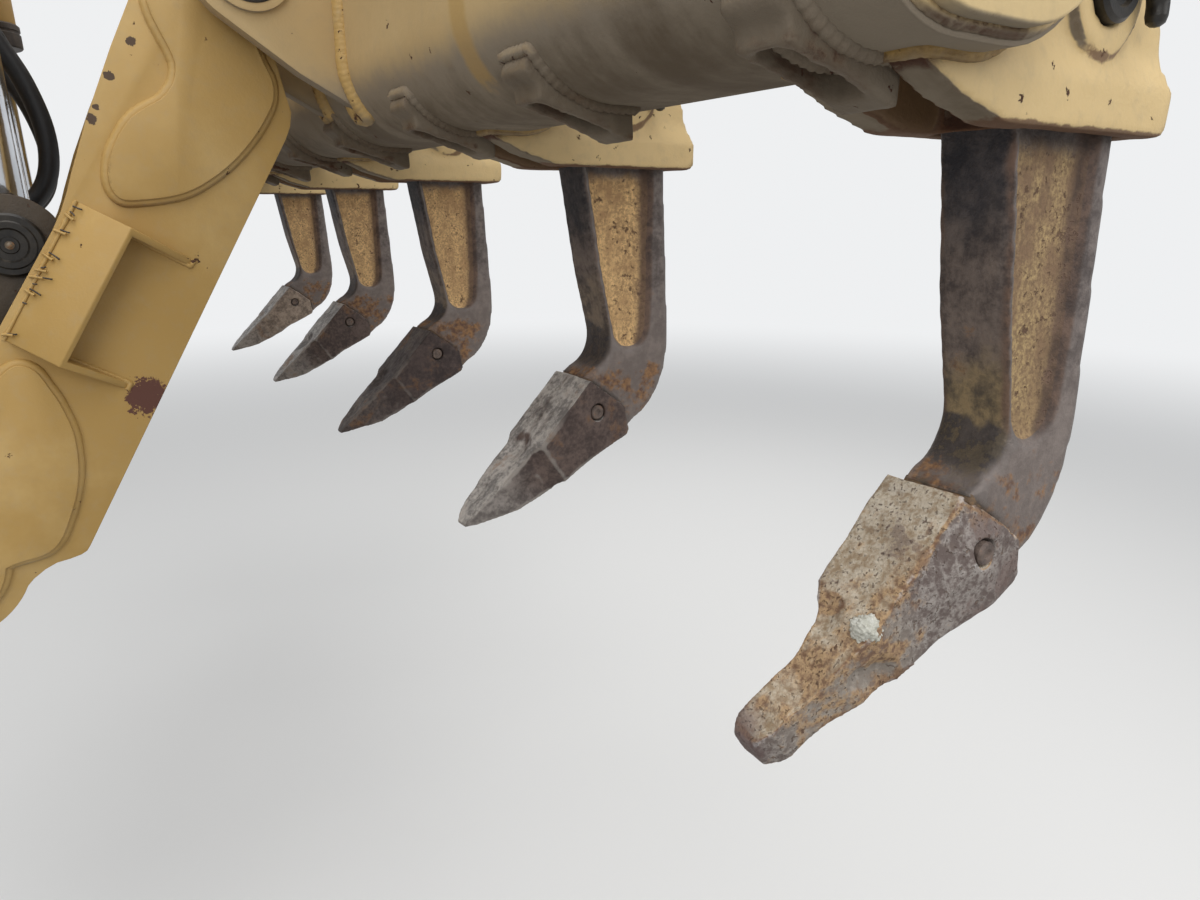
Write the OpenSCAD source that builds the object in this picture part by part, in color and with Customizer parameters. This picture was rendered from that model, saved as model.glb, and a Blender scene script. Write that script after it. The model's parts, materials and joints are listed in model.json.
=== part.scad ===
// Rear ripper of a motor grader, raised: a tool beam with five shanks and nine
// empty scarifier sockets, held by two lift arms and two upper links on a
// mounting frame, and moved by two lift cylinders.
// +X points to the rear of the machine, +Y to its right and +Z up. The origin
// is the middle of the mounting face. Left is -Y.

/* [Mounting frame] */
// Thickness of the mounting plate
plate_t = 30; // [20:1:40]
// Width of the mounting plate
plate_w = 700; // [660:1:900]
// Height of the mounting plate
plate_h = 1300; // [1280:1:1500]
// Spacing of the mounting bolts across the machine
bolt_span_y = 600; // [560:1:620]
// Spacing of the mounting bolts up the plate
bolt_span_z = 1180; // [1100:1:1220]
// Radius of each mounting bolt's hole
bolt_hole_r = 14; // [10:0.5:18]
// Radius of the pad that keeps metal round each bolt's hole
bolt_pad_r = 42; // [30:1:48]
// Height of the bar between the plate's two windows
window_bar = 120; // [90:1:160]
// Width of the plate's window
window_w = 240; // [160:1:300]
// Height of the plate's window
window_h = 380; // [200:1:460]
// Thickness of each cheek of the side frames
cheek_t = 25; // [16:1:30]
// Radius of the cheeks round the arm pivots
cheek_pivot_r = 72; // [60:1:80]
// Radius of the cheeks round the cylinder's top pin
cheek_top_r = 52; // [46:1:56]
// Reach of the cheeks between their lugs, from the plate
cheek_web = 75; // [50:1:110]
// Outer radius of the tubes across the frame
frame_tube_r = 38; // [30:1:45]

/* [Linkage] */
// Arm pivot, from the mounting face
pivot_x = 153; // [145:1:170]
// Arm pivot, height
pivot_z = -560; // [-580:1:-550]
// Beam's lower pin, from the mounting face
arm_pin_x = 536; // [520:1:560]
// Beam's lower pin, height
arm_pin_z = 65; // [50:1:75]
// Upper link's pivot on the frame, from the mounting face
link_pivot_x = 125; // [115:1:140]
// Upper link's pivot on the frame, height
link_pivot_z = -130; // [-150:1:-110]
// Cylinder's top pin, from the mounting face
cyl_top_x = 265; // [250:1:280]
// Cylinder's top pin, height
cyl_top_z = 575; // [560:1:590]
// Rod's pin on the arms, from the mounting face
rod_pin_x = 279; // [272:1:290]
// Rod's pin on the arms, height
rod_pin_z = -222; // [-232:1:-212]

/* [Lift arms] */
// Middle of each arm's plate, from the middle of the machine
arm_y = 330; // [322:1:345]
// Thickness of an arm's plate
arm_t = 30; // [20:1:34]
// Thickness of the doubler plates on both its faces
doubler_t = 10; // [6:1:12]
// Radius of the arm round the beam's pin
arm_top_r = 86; // [80:1:92]
// Radius of the arm round its pivot
arm_foot_r = 92; // [84:1:100]
// Radius of the doublers round both pins
doubler_r = 72; // [60:1:76]
// Radius of the arm and beam pins
arm_pin_r = 30; // [22:1:34]
// Outer radius of the tube between the arms
arm_tube_r = 57; // [45:1:62]
// Place of that tube along the arm, from the beam's pin
arm_tube_along = 520; // [500:1:530]
// Place of that tube across the arm, to the rear of its line of pins
arm_tube_across = 48; // [40:1:56]
// Length of the hose guard along the arm
guard_l = 168; // [140:1:190]
// Height of the hose guard over the arm
guard_h = 38; // [25:1:45]
// Thickness of the hose guard's plate
guard_t = 8; // [5:1:10]

/* [Upper links] */
// Middle of each upper link, from the middle of the machine
link_y = 120; // [115:1:125]
// Width of a link's eyes
link_w = 50; // [40:1:54]
// Radius of a link's eyes
link_eye_r = 48; // [42:1:52]
// Depth of a link's bar
link_bar = 56; // [40:1:70]
// Radius of the link pins
link_pin_r = 20; // [16:1:24]
// Thickness of the ears beside each link
link_ear_t = 22; // [16:1:24]

/* [Lift cylinders] */
// Middle of each cylinder, from the middle of the machine
cyl_y = 247; // [244:1:250]
// Outer radius of the barrel
barrel_r = 46; // [38:1:47]
// Wall of the barrel
barrel_wall = 9; // [6:1:12]
// Distance from the top pin to the barrel's lower end
barrel_l = 520; // [505:1:524]
// Radius of the rod
rod_r = 26; // [18:1:30]
// Radius of the cylinder's eyes
cyl_eye_r = 42; // [38:1:44]
// Width of the cylinder's eyes
cyl_eye_w = 50; // [40:1:54]
// Radius of the cylinder's pins
cyl_pin_r = 20; // [14:1:24]
// Radius of the rod brackets round the rod's pin
bracket_r = 54; // [48:1:60]

/* [Tool beam] */
// Length of the beam
beam_l = 2280; // [2260:1:2400]
// Depth of the beam, front to rear
beam_d = 211; // [200:1:215]
// Height of the beam
beam_h = 284; // [270:1:300]
// Radius of the beam's corners
beam_r = 85; // [70:1:95]
// Front of the beam, from the mounting face
beam_x = 632; // [628:1:640]
// Underside of the beam
beam_z = -104; // [-110:1:-98]
// Thickness of the plates that close the beam's ends
cap_t = 14; // [8:1:20]
// Thickness of the lower ears
ear_t = 22; // [16:1:30]
// Radius of the lower ears round the pin
ear_r = 60; // [54:1:66]
// Radius of the lower ears' bosses round the pin
ear_boss_r = 46; // [40:1:52]
// Radius of the upper ears round the link's pin
mast_r = 48; // [42:1:52]

/* [Shanks] */
// Number of shanks
shank_n = 5; // [3:1:5]
// Spacing of the shanks
shank_pitch = 533; // [500:1:540]
// Width of a shank
shank_w = 64; // [50:1:70]
// Tooth pin, from the mounting face
tooth_x = 865; // [860:1:870]
// Tooth pin, height
tooth_z = -430; // [-440:1:-420]
// Height of a shank's head over the tooth pin
shank_top = 640; // [600:1:680]
// Depth of the recess in each side of a shank
recess_d = 9; // [4:0.5:14]
// Radius of the shank's pin
shank_pin_r = 22; // [16:1:26]

/* [Teeth] */
// Width of a tooth
tooth_w = 90; // [84:1:96]
// Width of the shank's nose inside the tooth
nose_w = 40; // [30:1:44]
// Radius of the tooth's pin
tooth_pin_r = 10; // [7:0.5:12]

/* [Pockets] */
// Width of the foot of a shank's pocket
pocket_w = 102; // [96:1:110]
// Width of the pocket over its foot
column_w = 86; // [82:1:92]
// Height of the pocket's underside over the tooth pin
pocket_foot = 292; // [285:1:296]
// Height of the foot's ledge over the tooth pin
pocket_ledge = 323; // [318:1:330]
// Height of the pocket's top over the tooth pin
pocket_top = 590; // [560:1:600]
// Radius of the pocket's boss round the shank's pin
pocket_boss_r = 40; // [34:1:46]
// Clearance round a shank in its pocket
pocket_gap = 1; // [0.5:0.1:2]
// Width of a scarifier socket
socket_w = 45; // [38:1:50]
// Width of the slot in a scarifier socket
slot_w = 27; // [20:1:30]

/* [Hidden] */
$fn = 72;
yellow = [0.76, 0.62, 0.38];
grime = [0.45, 0.37, 0.27];
steel = [0.38, 0.30, 0.24];
dark = [0.16, 0.15, 0.15];
chrome = [0.72, 0.74, 0.78];

fit = 0.3; // running clearance at pins and faces
sides = [-1, 1]; // left, right
head_t = 20; // closed end of a barrel
gland_l = 34;
piston_t = 30;
port_r = 13; // elbows on the barrels
port_l = 34;
hose_y = 168; // middle of each hose, from the middle of the machine
hose_r = 11;

// The arm's own line, from the beam's pin down to its pivot
arm_dx = pivot_x - arm_pin_x;
arm_dz = pivot_z - arm_pin_z;
arm_l = sqrt(arm_dx * arm_dx + arm_dz * arm_dz);
arm_angle = atan2(arm_dz, arm_dx);
// The upper link runs parallel to the arm
link_pin_x = link_pivot_x - arm_dx;
link_pin_z = link_pivot_z - arm_dz;
// The cylinder's own line, from its top pin down to the rod's pin
cyl_dx = rod_pin_x - cyl_top_x;
cyl_dz = rod_pin_z - cyl_top_z;
cyl_l = sqrt(cyl_dx * cyl_dx + cyl_dz * cyl_dz);
cyl_tilt = atan2(cyl_dx, -cyl_dz);

// Faces across the machine, as distances from its middle
arm_in = arm_y - arm_t / 2 - doubler_t;
arm_out = arm_y + arm_t / 2 + doubler_t;
cheek_in = cyl_y - cyl_eye_w / 2 - 3 - cheek_t;
cheek_out = cyl_y + cyl_eye_w / 2 + 3;
ear_gap = 5;
ear_boss_in = 18;
ear_boss_out = 6;
ear_in = arm_in - ear_gap - ear_boss_in - ear_t;
ear_out = arm_out + ear_gap + ear_boss_in;
plate_x = plate_t;
barrel_top = cheek_top_r + 8;
port_upper = barrel_top + port_r + 1;
port_lower = barrel_l - gland_l - port_r - 32;
beam_rear = beam_x + beam_d;
beam_top = beam_z + beam_h;

// A plate in the XZ plane, from y0 to y0 + t
module plate(y0, t) {
    translate([0, y0 + t, 0]) rotate([90, 0, 0]) linear_extrude(t) children();
}
// The same plate on the side given: -1 left, 1 right, with y0 from the middle
module side_plate(side, y0, t) {
    plate(side > 0 ? y0 : -y0 - t, t) children();
}
// A disc or pin along Y on a side
module side_pin(side, x, z, r, y0, y1) {
    side_plate(side, y0, y1 - y0) translate([x, z]) circle(r);
}
module ring(x, z, r) { translate([x, z]) circle(r); }

// The outline of the beam
module beam_section(grow = 0) {
    r = beam_r + grow;
    for (x = [beam_x + beam_r, beam_rear - beam_r], z = [beam_z + beam_r, beam_top - beam_r])
        translate([x, z]) circle(r);
    translate([beam_x - grow, beam_z + beam_r]) square([beam_d + 2 * grow, beam_h - 2 * beam_r]);
    translate([beam_x + beam_r, beam_z - grow]) square([beam_d - 2 * beam_r, beam_h + 2 * grow]);
}

// Mounting frame
module at_bolts() {
    for (y = sides, z = [-1, 0, 1])
        translate([0, y * bolt_span_y / 2, z * bolt_span_z / 2]) rotate([0, 90, 0]) children();
}
module mounting_plate() {
    color(yellow) difference() {
        union() {
            translate([0, -plate_w / 2, -plate_h / 2]) cube([plate_t, plate_w, plate_h]);
            at_bolts() cylinder(r = bolt_pad_r, h = plate_t);
        }
        at_bolts() translate([0, 0, -1]) cylinder(r = bolt_hole_r, h = plate_t + 2);
        for (z = [-1, 1])
            translate([-1, -window_w / 2, z * (window_h + window_bar) / 2 - window_h / 2])
                cube([plate_t + 2, window_w, window_h]);
    }
}
// A cheek has a lug for the arm's pivot and a lug for the cylinder
module cheek_outline() {
    difference() {
        union() {
            translate([plate_x, pivot_z - cheek_pivot_r]) square([pivot_x - plate_x, 2 * cheek_pivot_r]);
            ring(pivot_x, pivot_z, cheek_pivot_r);
            translate([plate_x, cyl_top_z - cheek_top_r]) square([cyl_top_x - plate_x, 2 * cheek_top_r]);
            ring(cyl_top_x, cyl_top_z, cheek_top_r);
            translate([plate_x, pivot_z]) square([cheek_web, cyl_top_z - pivot_z]);
            polygon([[plate_x, cyl_top_z - cheek_top_r - 170], [plate_x + cheek_web, cyl_top_z - cheek_top_r - 170],
                [cyl_top_x - barrel_r - 4, cyl_top_z - cheek_top_r + 4], [plate_x, cyl_top_z]]);
        }
        ring(pivot_x, pivot_z, arm_pin_r + fit);
        ring(cyl_top_x, cyl_top_z, cyl_pin_r + fit);
    }
}
module side_frame(side) {
    color(yellow) for (y0 = [cheek_in, cheek_out]) side_plate(side, y0, cheek_t) cheek_outline();
}
// Places of the two tubes: over the arm pivots and under the cylinders' top pins
low_tube_up = 210;
high_tube_down = 40;
module frame_tubes() {
    color(yellow) for (z = [pivot_z + low_tube_up, cyl_top_z - high_tube_down])
        plate(-cheek_in, 2 * cheek_in) ring(plate_x + frame_tube_r, z, frame_tube_r);
}
module link_brackets() {
    color(yellow) for (side = sides, y0 = [link_y - link_w / 2 - 2 - link_ear_t, link_y + link_w / 2 + 2])
        side_plate(side, y0, link_ear_t) difference() {
            union() {
                translate([plate_x, link_pivot_z - link_eye_r]) square([link_pivot_x - plate_x, 2 * link_eye_r]);
                ring(link_pivot_x, link_pivot_z, link_eye_r);
            }
            ring(link_pivot_x, link_pivot_z, link_pin_r + fit);
        }
}
module arm_pivot_pins() {
    color(dark) for (side = sides) side_pin(side, pivot_x, pivot_z, arm_pin_r, cheek_in - 8, arm_out + 6);
}
module barrel_pins() {
    color(dark) for (side = sides) side_pin(side, cyl_top_x, cyl_top_z, cyl_pin_r, cheek_in - 6, cheek_out + cheek_t + 6);
}
module link_pivot_pins() {
    color(dark) for (side = sides)
        side_pin(side, link_pivot_x, link_pivot_z, link_pin_r,
            link_y - link_w / 2 - link_ear_t - 8, link_y + link_w / 2 + link_ear_t + 8);
}

// Lift arms. Along runs from the beam's pin to the pivot, across to the rear.
module on_arm() { translate([arm_pin_x, arm_pin_z]) rotate(arm_angle) children(); }
arm_belly = 118;
arm_front = 84;
module arm_outline() {
    on_arm() difference() {
        union() {
            circle(arm_top_r);
            translate([arm_l, 0]) circle(arm_foot_r);
            polygon([[0, -arm_front], [90, -76], [141, -71], [183, -66], [220, -61], [255, -55], [280, -50.5],
                [302, -46], [323, -43], [345, -42], [arm_l - 263, -44], [arm_l - 110, -58], [arm_l, -arm_foot_r],
                [arm_l, 60], [arm_l - 5, 90.5], [arm_l - 19, 93.5], [arm_l - 33, 99.5], [arm_l - 44, 107],
                [arm_l - 53, 118], [arm_l - 61, 126], [arm_l - 67, 129.5], [arm_l - 74, 130],
                [arm_l - 275, arm_belly + 7], [126, arm_belly], [110, arm_belly - 2], [95, arm_belly - 8],
                [82, 97], [66, 82], [52, 69], [0, 60]]);
        }
        circle(arm_pin_r + fit);
        translate([arm_l, 0]) circle(arm_pin_r + fit);
    }
}
module doubler_outlines() {
    on_arm() difference() {
        union() {
            circle(doubler_r);
            polygon(route([[0, -doubler_r], [30, -71], [62, -68], [82, -62], [97, -46], [109, -29], [121, -15], [136, -8.5],
                [150, -8], [164, -11], [179, -19], [195, -26], [212, -29], [233, -29], [254, -25.5], [270, -18], [279, -8],
                [280, 3], [270, 18], [259, 32], [247, 45], [233, 56], [215, 66], [191, 76], [165, 83], [140, 87], [115, 88],
                [98, 87], [84, 81], [74, 72], [66, 60], [56, 48]]));
        }
        circle(arm_pin_r + fit);
    }
    on_arm() difference() {
        union() {
            translate([arm_l, 0]) circle(doubler_r - 4);
            polygon(route([[arm_l, -50], [660, -52], [610, -46], [560, -37], [530, -29.5], [509, -24], [496, -19.5],
                [490, -13], [488, -4], [491, 6], [500, 19], [511, 34], [528, 52], [544, 65], [565, 77], [585, 86], [609, 93],
                [633, 97], [650, 99], [664, 98.5], [676, 94.5], [686, 86], [695, 74.5], [708, 62], [arm_l, 45]]));
        }
        translate([arm_l, 0]) circle(arm_pin_r + fit);
    }
}
module lift_arm(side) {
    color(yellow) side_plate(side, arm_y - arm_t / 2, arm_t) arm_outline();
}
module arm_doublers(side) {
    color(yellow) {
        side_plate(side, arm_y + arm_t / 2, doubler_t) doubler_outlines();
        side_plate(side, arm_y - arm_t / 2 - doubler_t, doubler_t) on_arm() for (a = [0, arm_l]) difference() {
            translate([a, 0]) circle(doubler_r - 4);
            translate([a, 0]) circle(arm_pin_r + fit);
        }
    }
}
// The hose guard on each arm: a sloping plate on two triangular ends
guard_at = 304;
guard_front = -34;
guard_ridge = 18;
guard_rear = 90;
module hose_guards() {
    slope = [guard_h, guard_ridge - guard_front];
    in_h = guard_t * slope[1] / norm(slope);
    in_w = guard_t * slope[0] / norm(slope);
    foot = guard_front + in_w + in_h * slope[1] / slope[0];
    color(yellow) for (side = sides) mirror([0, side > 0 ? 0 : 1, 0])
        translate([arm_pin_x, arm_y + arm_t / 2, arm_pin_z]) rotate([0, -arm_angle, 0]) difference() {
            translate([guard_at, 0, 0]) rotate([90, 0, 90]) linear_extrude(guard_l)
                polygon([[0, guard_front], [guard_h, guard_ridge], [0, guard_rear]]);
            translate([guard_at + guard_t, 0, 0]) rotate([90, 0, 90]) linear_extrude(guard_l - 2 * guard_t)
                polygon([[-1, foot], [0, foot], [guard_h - in_h, guard_ridge + in_w],
                    [guard_h + 1, guard_ridge + in_w], [guard_h + 1, guard_rear + 1], [-1, guard_rear + 1]]);
        }
}
arm_tube_x = arm_pin_x + arm_tube_along * cos(arm_angle) - arm_tube_across * sin(arm_angle);
arm_tube_z = arm_pin_z + arm_tube_along * sin(arm_angle) + arm_tube_across * cos(arm_angle);
module arm_tube() {
    color(yellow) plate(-(arm_y - arm_t / 2), 2 * arm_y - arm_t) ring(arm_tube_x, arm_tube_z, arm_tube_r);
}
// Each rod bracket is two cheeks from the tube out to the rod's pin
module bracket_outline() {
    bracket_dx = rod_pin_x - arm_tube_x;
    bracket_dz = rod_pin_z - arm_tube_z;
    bracket_l = sqrt(bracket_dx * bracket_dx + bracket_dz * bracket_dz);
    difference() {
        translate([arm_tube_x, arm_tube_z]) rotate(atan2(bracket_dz, bracket_dx)) union() {
            translate([bracket_l, 0]) circle(bracket_r);
            translate([0, -bracket_r]) square([bracket_l, 2 * bracket_r]);
        }
        ring(arm_tube_x, arm_tube_z, arm_tube_r);
        ring(rod_pin_x, rod_pin_z, cyl_pin_r + fit);
    }
}
module rod_brackets() {
    color(grime) for (side = sides, y0 = [cheek_in, cheek_out]) side_plate(side, y0, cheek_t) bracket_outline();
}
module rod_pin_caps() {
    color(dark) for (side = sides) {
        side_pin(side, rod_pin_x, rod_pin_z, cyl_pin_r, cheek_out + 1, cheek_out + cheek_t);
        side_pin(side, rod_pin_x, rod_pin_z, cyl_pin_r + 7, cheek_out + cheek_t, cheek_out + cheek_t + 8);
        side_pin(side, rod_pin_x, rod_pin_z, cyl_pin_r, cheek_in, cheek_in + cheek_t - 1);
        side_pin(side, rod_pin_x, rod_pin_z, cyl_pin_r + 7, cheek_in - 8, cheek_in);
    }
}

// Upper links
module upper_link(side) {
    color(yellow) side_plate(side, link_y - link_w / 2, link_w) difference() {
        union() {
            ring(link_pivot_x, link_pivot_z, link_eye_r);
            ring(link_pin_x, link_pin_z, link_eye_r);
            translate([link_pivot_x, link_pivot_z]) rotate(arm_angle + 180)
                translate([0, -link_bar / 2]) square([arm_l, link_bar]);
        }
        ring(link_pivot_x, link_pivot_z, link_pin_r + fit);
        ring(link_pin_x, link_pin_z, link_pin_r + fit);
    }
}

// Lift cylinders. Each is drawn along -Z from its top pin, as the left one,
// tilted into place and mirrored for the right.
module on_cylinder(side) {
    mirror([0, side > 0 ? 1 : 0, 0])
        translate([cyl_top_x, -cyl_y, cyl_top_z]) rotate([0, -cyl_tilt, 0]) children();
}
module eye(r, w, hole) {
    rotate([90, 0, 0]) difference() {
        cylinder(r = r, h = w, center = true);
        cylinder(r = hole, h = w + 2, center = true);
    }
}
module barrel(side) {
    tube_l = barrel_l - gland_l - barrel_top;
    color(yellow) on_cylinder(side) difference() {
        union() {
            eye(cyl_eye_r, cyl_eye_w, cyl_pin_r + fit);
            translate([0, 0, -barrel_top - 1]) cylinder(r = cyl_eye_w / 2, h = barrel_top - cyl_pin_r);
            translate([0, 0, gland_l - barrel_l]) cylinder(r = barrel_r, h = tube_l);
            for (z = [-port_upper, -port_lower])
                translate([0, barrel_r - 4, z]) rotate([-90, 0, 0])
                    cylinder(r = port_r, h = cyl_y - hose_y - barrel_r + 4 + port_r);
            translate([0, cyl_y - hose_y, -port_lower - port_l]) cylinder(r = port_r, h = port_l);
            translate([-port_l, cyl_y - hose_y, -port_upper]) rotate([0, 90, 0]) cylinder(r = port_r, h = port_l);
        }
        rotate([90, 0, 0]) cylinder(r = cyl_pin_r + fit, h = cyl_eye_w + 2, center = true);
        translate([0, 0, gland_l - barrel_l - 1]) cylinder(r = barrel_r - barrel_wall, h = tube_l - head_t + 1);
    }
}
module gland(side) {
    color(dark) on_cylinder(side) translate([0, 0, -barrel_l]) difference() {
        cylinder(r = barrel_r + 4, h = gland_l);
        translate([0, 0, -1]) cylinder(r = rod_r + fit, h = gland_l + 2);
    }
}
// The piston lies at the top of the barrel while the ripper is raised
module rod(side) {
    piston_z = -barrel_top - head_t - piston_t - 2;
    color(chrome) on_cylinder(side) union() {
        translate([0, 0, cyl_eye_r - cyl_l]) cylinder(r = rod_r, h = cyl_l - cyl_eye_r + piston_z);
        translate([0, 0, piston_z]) cylinder(r = barrel_r - barrel_wall - fit, h = piston_t);
    }
}
module rod_eye(side) {
    color(dark) on_cylinder(side) translate([0, 0, -cyl_l]) {
        difference() {
            union() {
                rotate([90, 0, 0]) cylinder(r = cyl_eye_r, h = cyl_eye_w, center = true);
                cylinder(r = rod_r + 1, h = cyl_eye_r);
            }
            rotate([90, 0, 0]) cylinder(r = cyl_pin_r + fit, h = cyl_eye_w + 20, center = true);
        }
        rotate([90, 0, 0]) cylinder(r = cyl_pin_r, h = cyl_eye_w + 4, center = true);
    }
}

// Tool beam
module beam() {
    color(yellow) plate(-beam_l / 2, beam_l) beam_section();
}
module beam_caps() {
    color(yellow) for (side = sides) side_plate(side, beam_l / 2, cap_t) beam_section(-8);
}
// A lower ear reaches from the pin under and over the beam's front
module ear_outline() {
    difference() {
        union() {
            ring(arm_pin_x, arm_pin_z, ear_r);
            polygon([[arm_pin_x - 0.549 * ear_r, arm_pin_z - 0.836 * ear_r], [arm_pin_x + 45, arm_pin_z - ear_r - 43],
                [beam_x + 28, beam_z + 24], [beam_x + beam_r, beam_z + beam_r], [beam_x + beam_r, beam_top - 45],
                [beam_x + 20, beam_top - 40], [arm_pin_x + 10, arm_pin_z + ear_r]]);
        }
        beam_section();
        ring(arm_pin_x, arm_pin_z, arm_pin_r + fit);
    }
}
module lower_ears() {
    color(yellow) difference() {
        for (side = sides) {
            side_plate(side, ear_in, ear_t) ear_outline();
            side_plate(side, ear_out, ear_t) ear_outline();
            for (face = [[ear_in - ear_boss_out, ear_boss_out], [ear_in + ear_t, ear_boss_in],
                [ear_out - ear_boss_in, ear_boss_in], [ear_out + ear_t, ear_boss_out]])
                side_plate(side, face[0], face[1]) difference() {
                    ring(arm_pin_x, arm_pin_z, ear_boss_r);
                    ring(arm_pin_x, arm_pin_z, arm_pin_r + fit);
                }
        }
        at_sockets() across(socket_w + 2 * fit) socket_outline();
    }
}
module beam_pins() {
    color(dark) for (side = sides)
        side_pin(side, arm_pin_x, arm_pin_z, arm_pin_r, ear_in - ear_boss_out - 3, ear_out + ear_t + ear_boss_out + 3);
}
module upper_ear_outline() {
    difference() {
        union() {
            ring(link_pin_x, link_pin_z, mast_r);
            polygon([[link_pin_x - mast_r, link_pin_z], [beam_x - 6, beam_top - 110], [beam_x + beam_r, beam_top - 30],
                [beam_rear - 50, beam_top - 20], [beam_rear - 30, beam_top + 20], [link_pin_x + mast_r - 2, link_pin_z + 10]]);
        }
        beam_section();
        ring(link_pin_x, link_pin_z, link_pin_r + fit);
    }
}
module upper_ears() {
    color(yellow) for (side = sides, y0 = [link_y - link_w / 2 - 2 - link_ear_t, link_y + link_w / 2 + 2])
        side_plate(side, y0, link_ear_t) upper_ear_outline();
}
module link_ear_pins() {
    color(dark) for (side = sides)
        side_pin(side, link_pin_x, link_pin_z, link_pin_r,
            link_y - link_w / 2 - link_ear_t - 8, link_y + link_w / 2 + link_ear_t + 8);
}

// Shanks, teeth and their pockets, drawn round the tooth's pin
function shank_y(k) = (k - (shank_n + 1) / 2) * shank_pitch;
module at_shank(k) { translate([tooth_x, shank_y(k), tooth_z]) children(); }
module across(w) { plate(-w / 2, w) children(); }
shank_pin_x = 38;
shank_pin_z = 378;
shank_front = -15;
shank_rear = 105;
tooth_angle = 214.5; // from +X to the tip's direction, in the XZ plane
// A point along the tooth from its pin, and up from its middle line
function on_tooth(along, up) = [along * cos(tooth_angle) + up * sin(tooth_angle),
    along * sin(tooth_angle) - up * cos(tooth_angle)];
// Where shank and tooth meet, from the top down
seat = [[-11, 43], [42, 3], [48, -28], [45, -35]];
module nose_outline(gap = 0) {
    polygon([on_tooth(-45, -28 - gap), on_tooth(20, -24 - gap), on_tooth(84 + gap, -13 - gap),
        on_tooth(84 + gap, 8 + gap), on_tooth(20, 22 + gap), on_tooth(-30, 28 + gap)]);
}
module shank_outline() {
    polygon([[shank_front, shank_top], [shank_front, 300], [6, 176], [26, 96], [25, 82], [20, 68], [8, 55],
        seat[0], seat[1], seat[2], seat[3], [63, -20], [78, -11], [91, 2], [103, 20], [112, 43], [117, 72],
        [117, 100], [shank_rear, 300], [shank_rear, shank_top]]);
}
// The recess in each side follows the front edge and narrows down to a round end
recess_z = 101;
recess_top = 340;
recess_rim = 7;
module recess_outline() {
    translate([56, recess_z]) circle(26);
    polygon([[30, recess_z], [shank_front + 21 + recess_rim, 176], [shank_front + recess_rim, 300],
        [shank_front + recess_rim, recess_top], [shank_rear - 24, recess_top], [84, 250], [84, 140], [82, recess_z]]);
}
module shank(k) {
    color(steel) at_shank(k) difference() {
        union() {
            across(shank_w) shank_outline();
            across(nose_w) nose_outline();
        }
        for (y = [-shank_w / 2 - 1, shank_w / 2 - recess_d]) plate(y, recess_d + 1) recess_outline();
        across(shank_w + 2) ring(shank_pin_x, shank_pin_z, shank_pin_r + fit);
        across(shank_w + 2) circle(tooth_pin_r + fit);
    }
}
// Columns: length to the tip, half width at the tip, thickness of the tip
tooth_table = [[206, 24, 22], [216, 26, 8], [216, 24, 7], [214, 26, 8], [216, 25, 8]];
module tooth_side(tip, tip_t) {
    polygon([seat[0], on_tooth(94, 18.5), on_tooth(tip - 8, 0), on_tooth(tip, -5), on_tooth(tip, -5 - tip_t),
        on_tooth(tip - 10, -12 - tip_t), on_tooth(172, -30), on_tooth(108, -41), on_tooth(51, -43),
        seat[3], seat[2], seat[1]]);
}
module tooth_plan(tip, tip_w) {
    half = tooth_w / 2;
    polygon([[-70, -half], [86, -half], [98, -34], [tip - 14, -tip_w], [tip, 10 - tip_w],
        [tip, tip_w - 10], [tip - 14, tip_w], [98, 34], [86, half], [-70, half]]);
}
module tooth(k) {
    row = tooth_table[k - 1];
    color(steel) at_shank(k) difference() {
        intersection() {
            across(tooth_w) tooth_side(row[0], row[2]);
            rotate([0, -tooth_angle, 0]) translate([0, 0, -80]) linear_extrude(160) tooth_plan(row[0], row[1]);
        }
        across(nose_w + 2 * fit) nose_outline(fit);
        across(tooth_w + 2) circle(tooth_pin_r + fit);
    }
}
module tooth_pins() {
    color(dark) for (k = [1 : shank_n]) at_shank(k) across(tooth_w + 2) circle(tooth_pin_r);
}
// The pocket is one casting: a foot under the beam and a column behind it,
// drawn from the side and from the front. The foot narrows to the column over
// its ledge, and reaches forward on both sides of a scarifier socket.
module boot_outline() {
    polygon([[-141, pocket_ledge + 6], [-141, pocket_ledge - 2], [-105, pocket_ledge - 18], [-58, pocket_foot],
        [130, pocket_foot], [136, pocket_foot + 6], [137, pocket_ledge], [130, pocket_ledge + 15],
        [124, pocket_ledge + 33], [122, pocket_ledge + 51], [122, pocket_top - 120], [116, pocket_top],
        [-24, pocket_top], [-60, 440], [-100, 380]]);
}
module boot_front() {
    foot = pocket_w / 2;
    column = column_w / 2;
    translate([-200, 0, 0]) rotate([90, 0, 90]) linear_extrude(400)
        polygon([[-foot, pocket_foot - 5], [foot, pocket_foot - 5], [foot, pocket_ledge], [column, pocket_ledge + 22],
            [column, pocket_top + 5], [-column, pocket_top + 5], [-column, pocket_ledge + 22], [-foot, pocket_ledge]]);
}
module pocket(k) {
    color(yellow) difference() {
        at_shank(k) union() {
            intersection() {
                across(pocket_w) boot_outline();
                boot_front();
            }
            across(pocket_w) ring(shank_pin_x, shank_pin_z, pocket_boss_r);
        }
        plate(-beam_l, 2 * beam_l) beam_section();
        at_shank(k) {
            translate([shank_front - pocket_gap, -shank_w / 2 - pocket_gap, pocket_foot - 10])
                cube([shank_rear - shank_front + 2 * pocket_gap, shank_w + 2 * pocket_gap, pocket_top]);
            across(pocket_w + 60) ring(shank_pin_x, shank_pin_z, shank_pin_r + fit);
            translate([-300, -socket_w / 2 - fit, pocket_foot - 10])
                cube([300 + shank_front - 6, socket_w + 2 * fit, 200]);
        }
    }
}
module shank_pins() {
    color(dark) for (k = [1 : shank_n]) at_shank(k) across(pocket_w + 12) ring(shank_pin_x, shank_pin_z, shank_pin_r);
}
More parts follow.
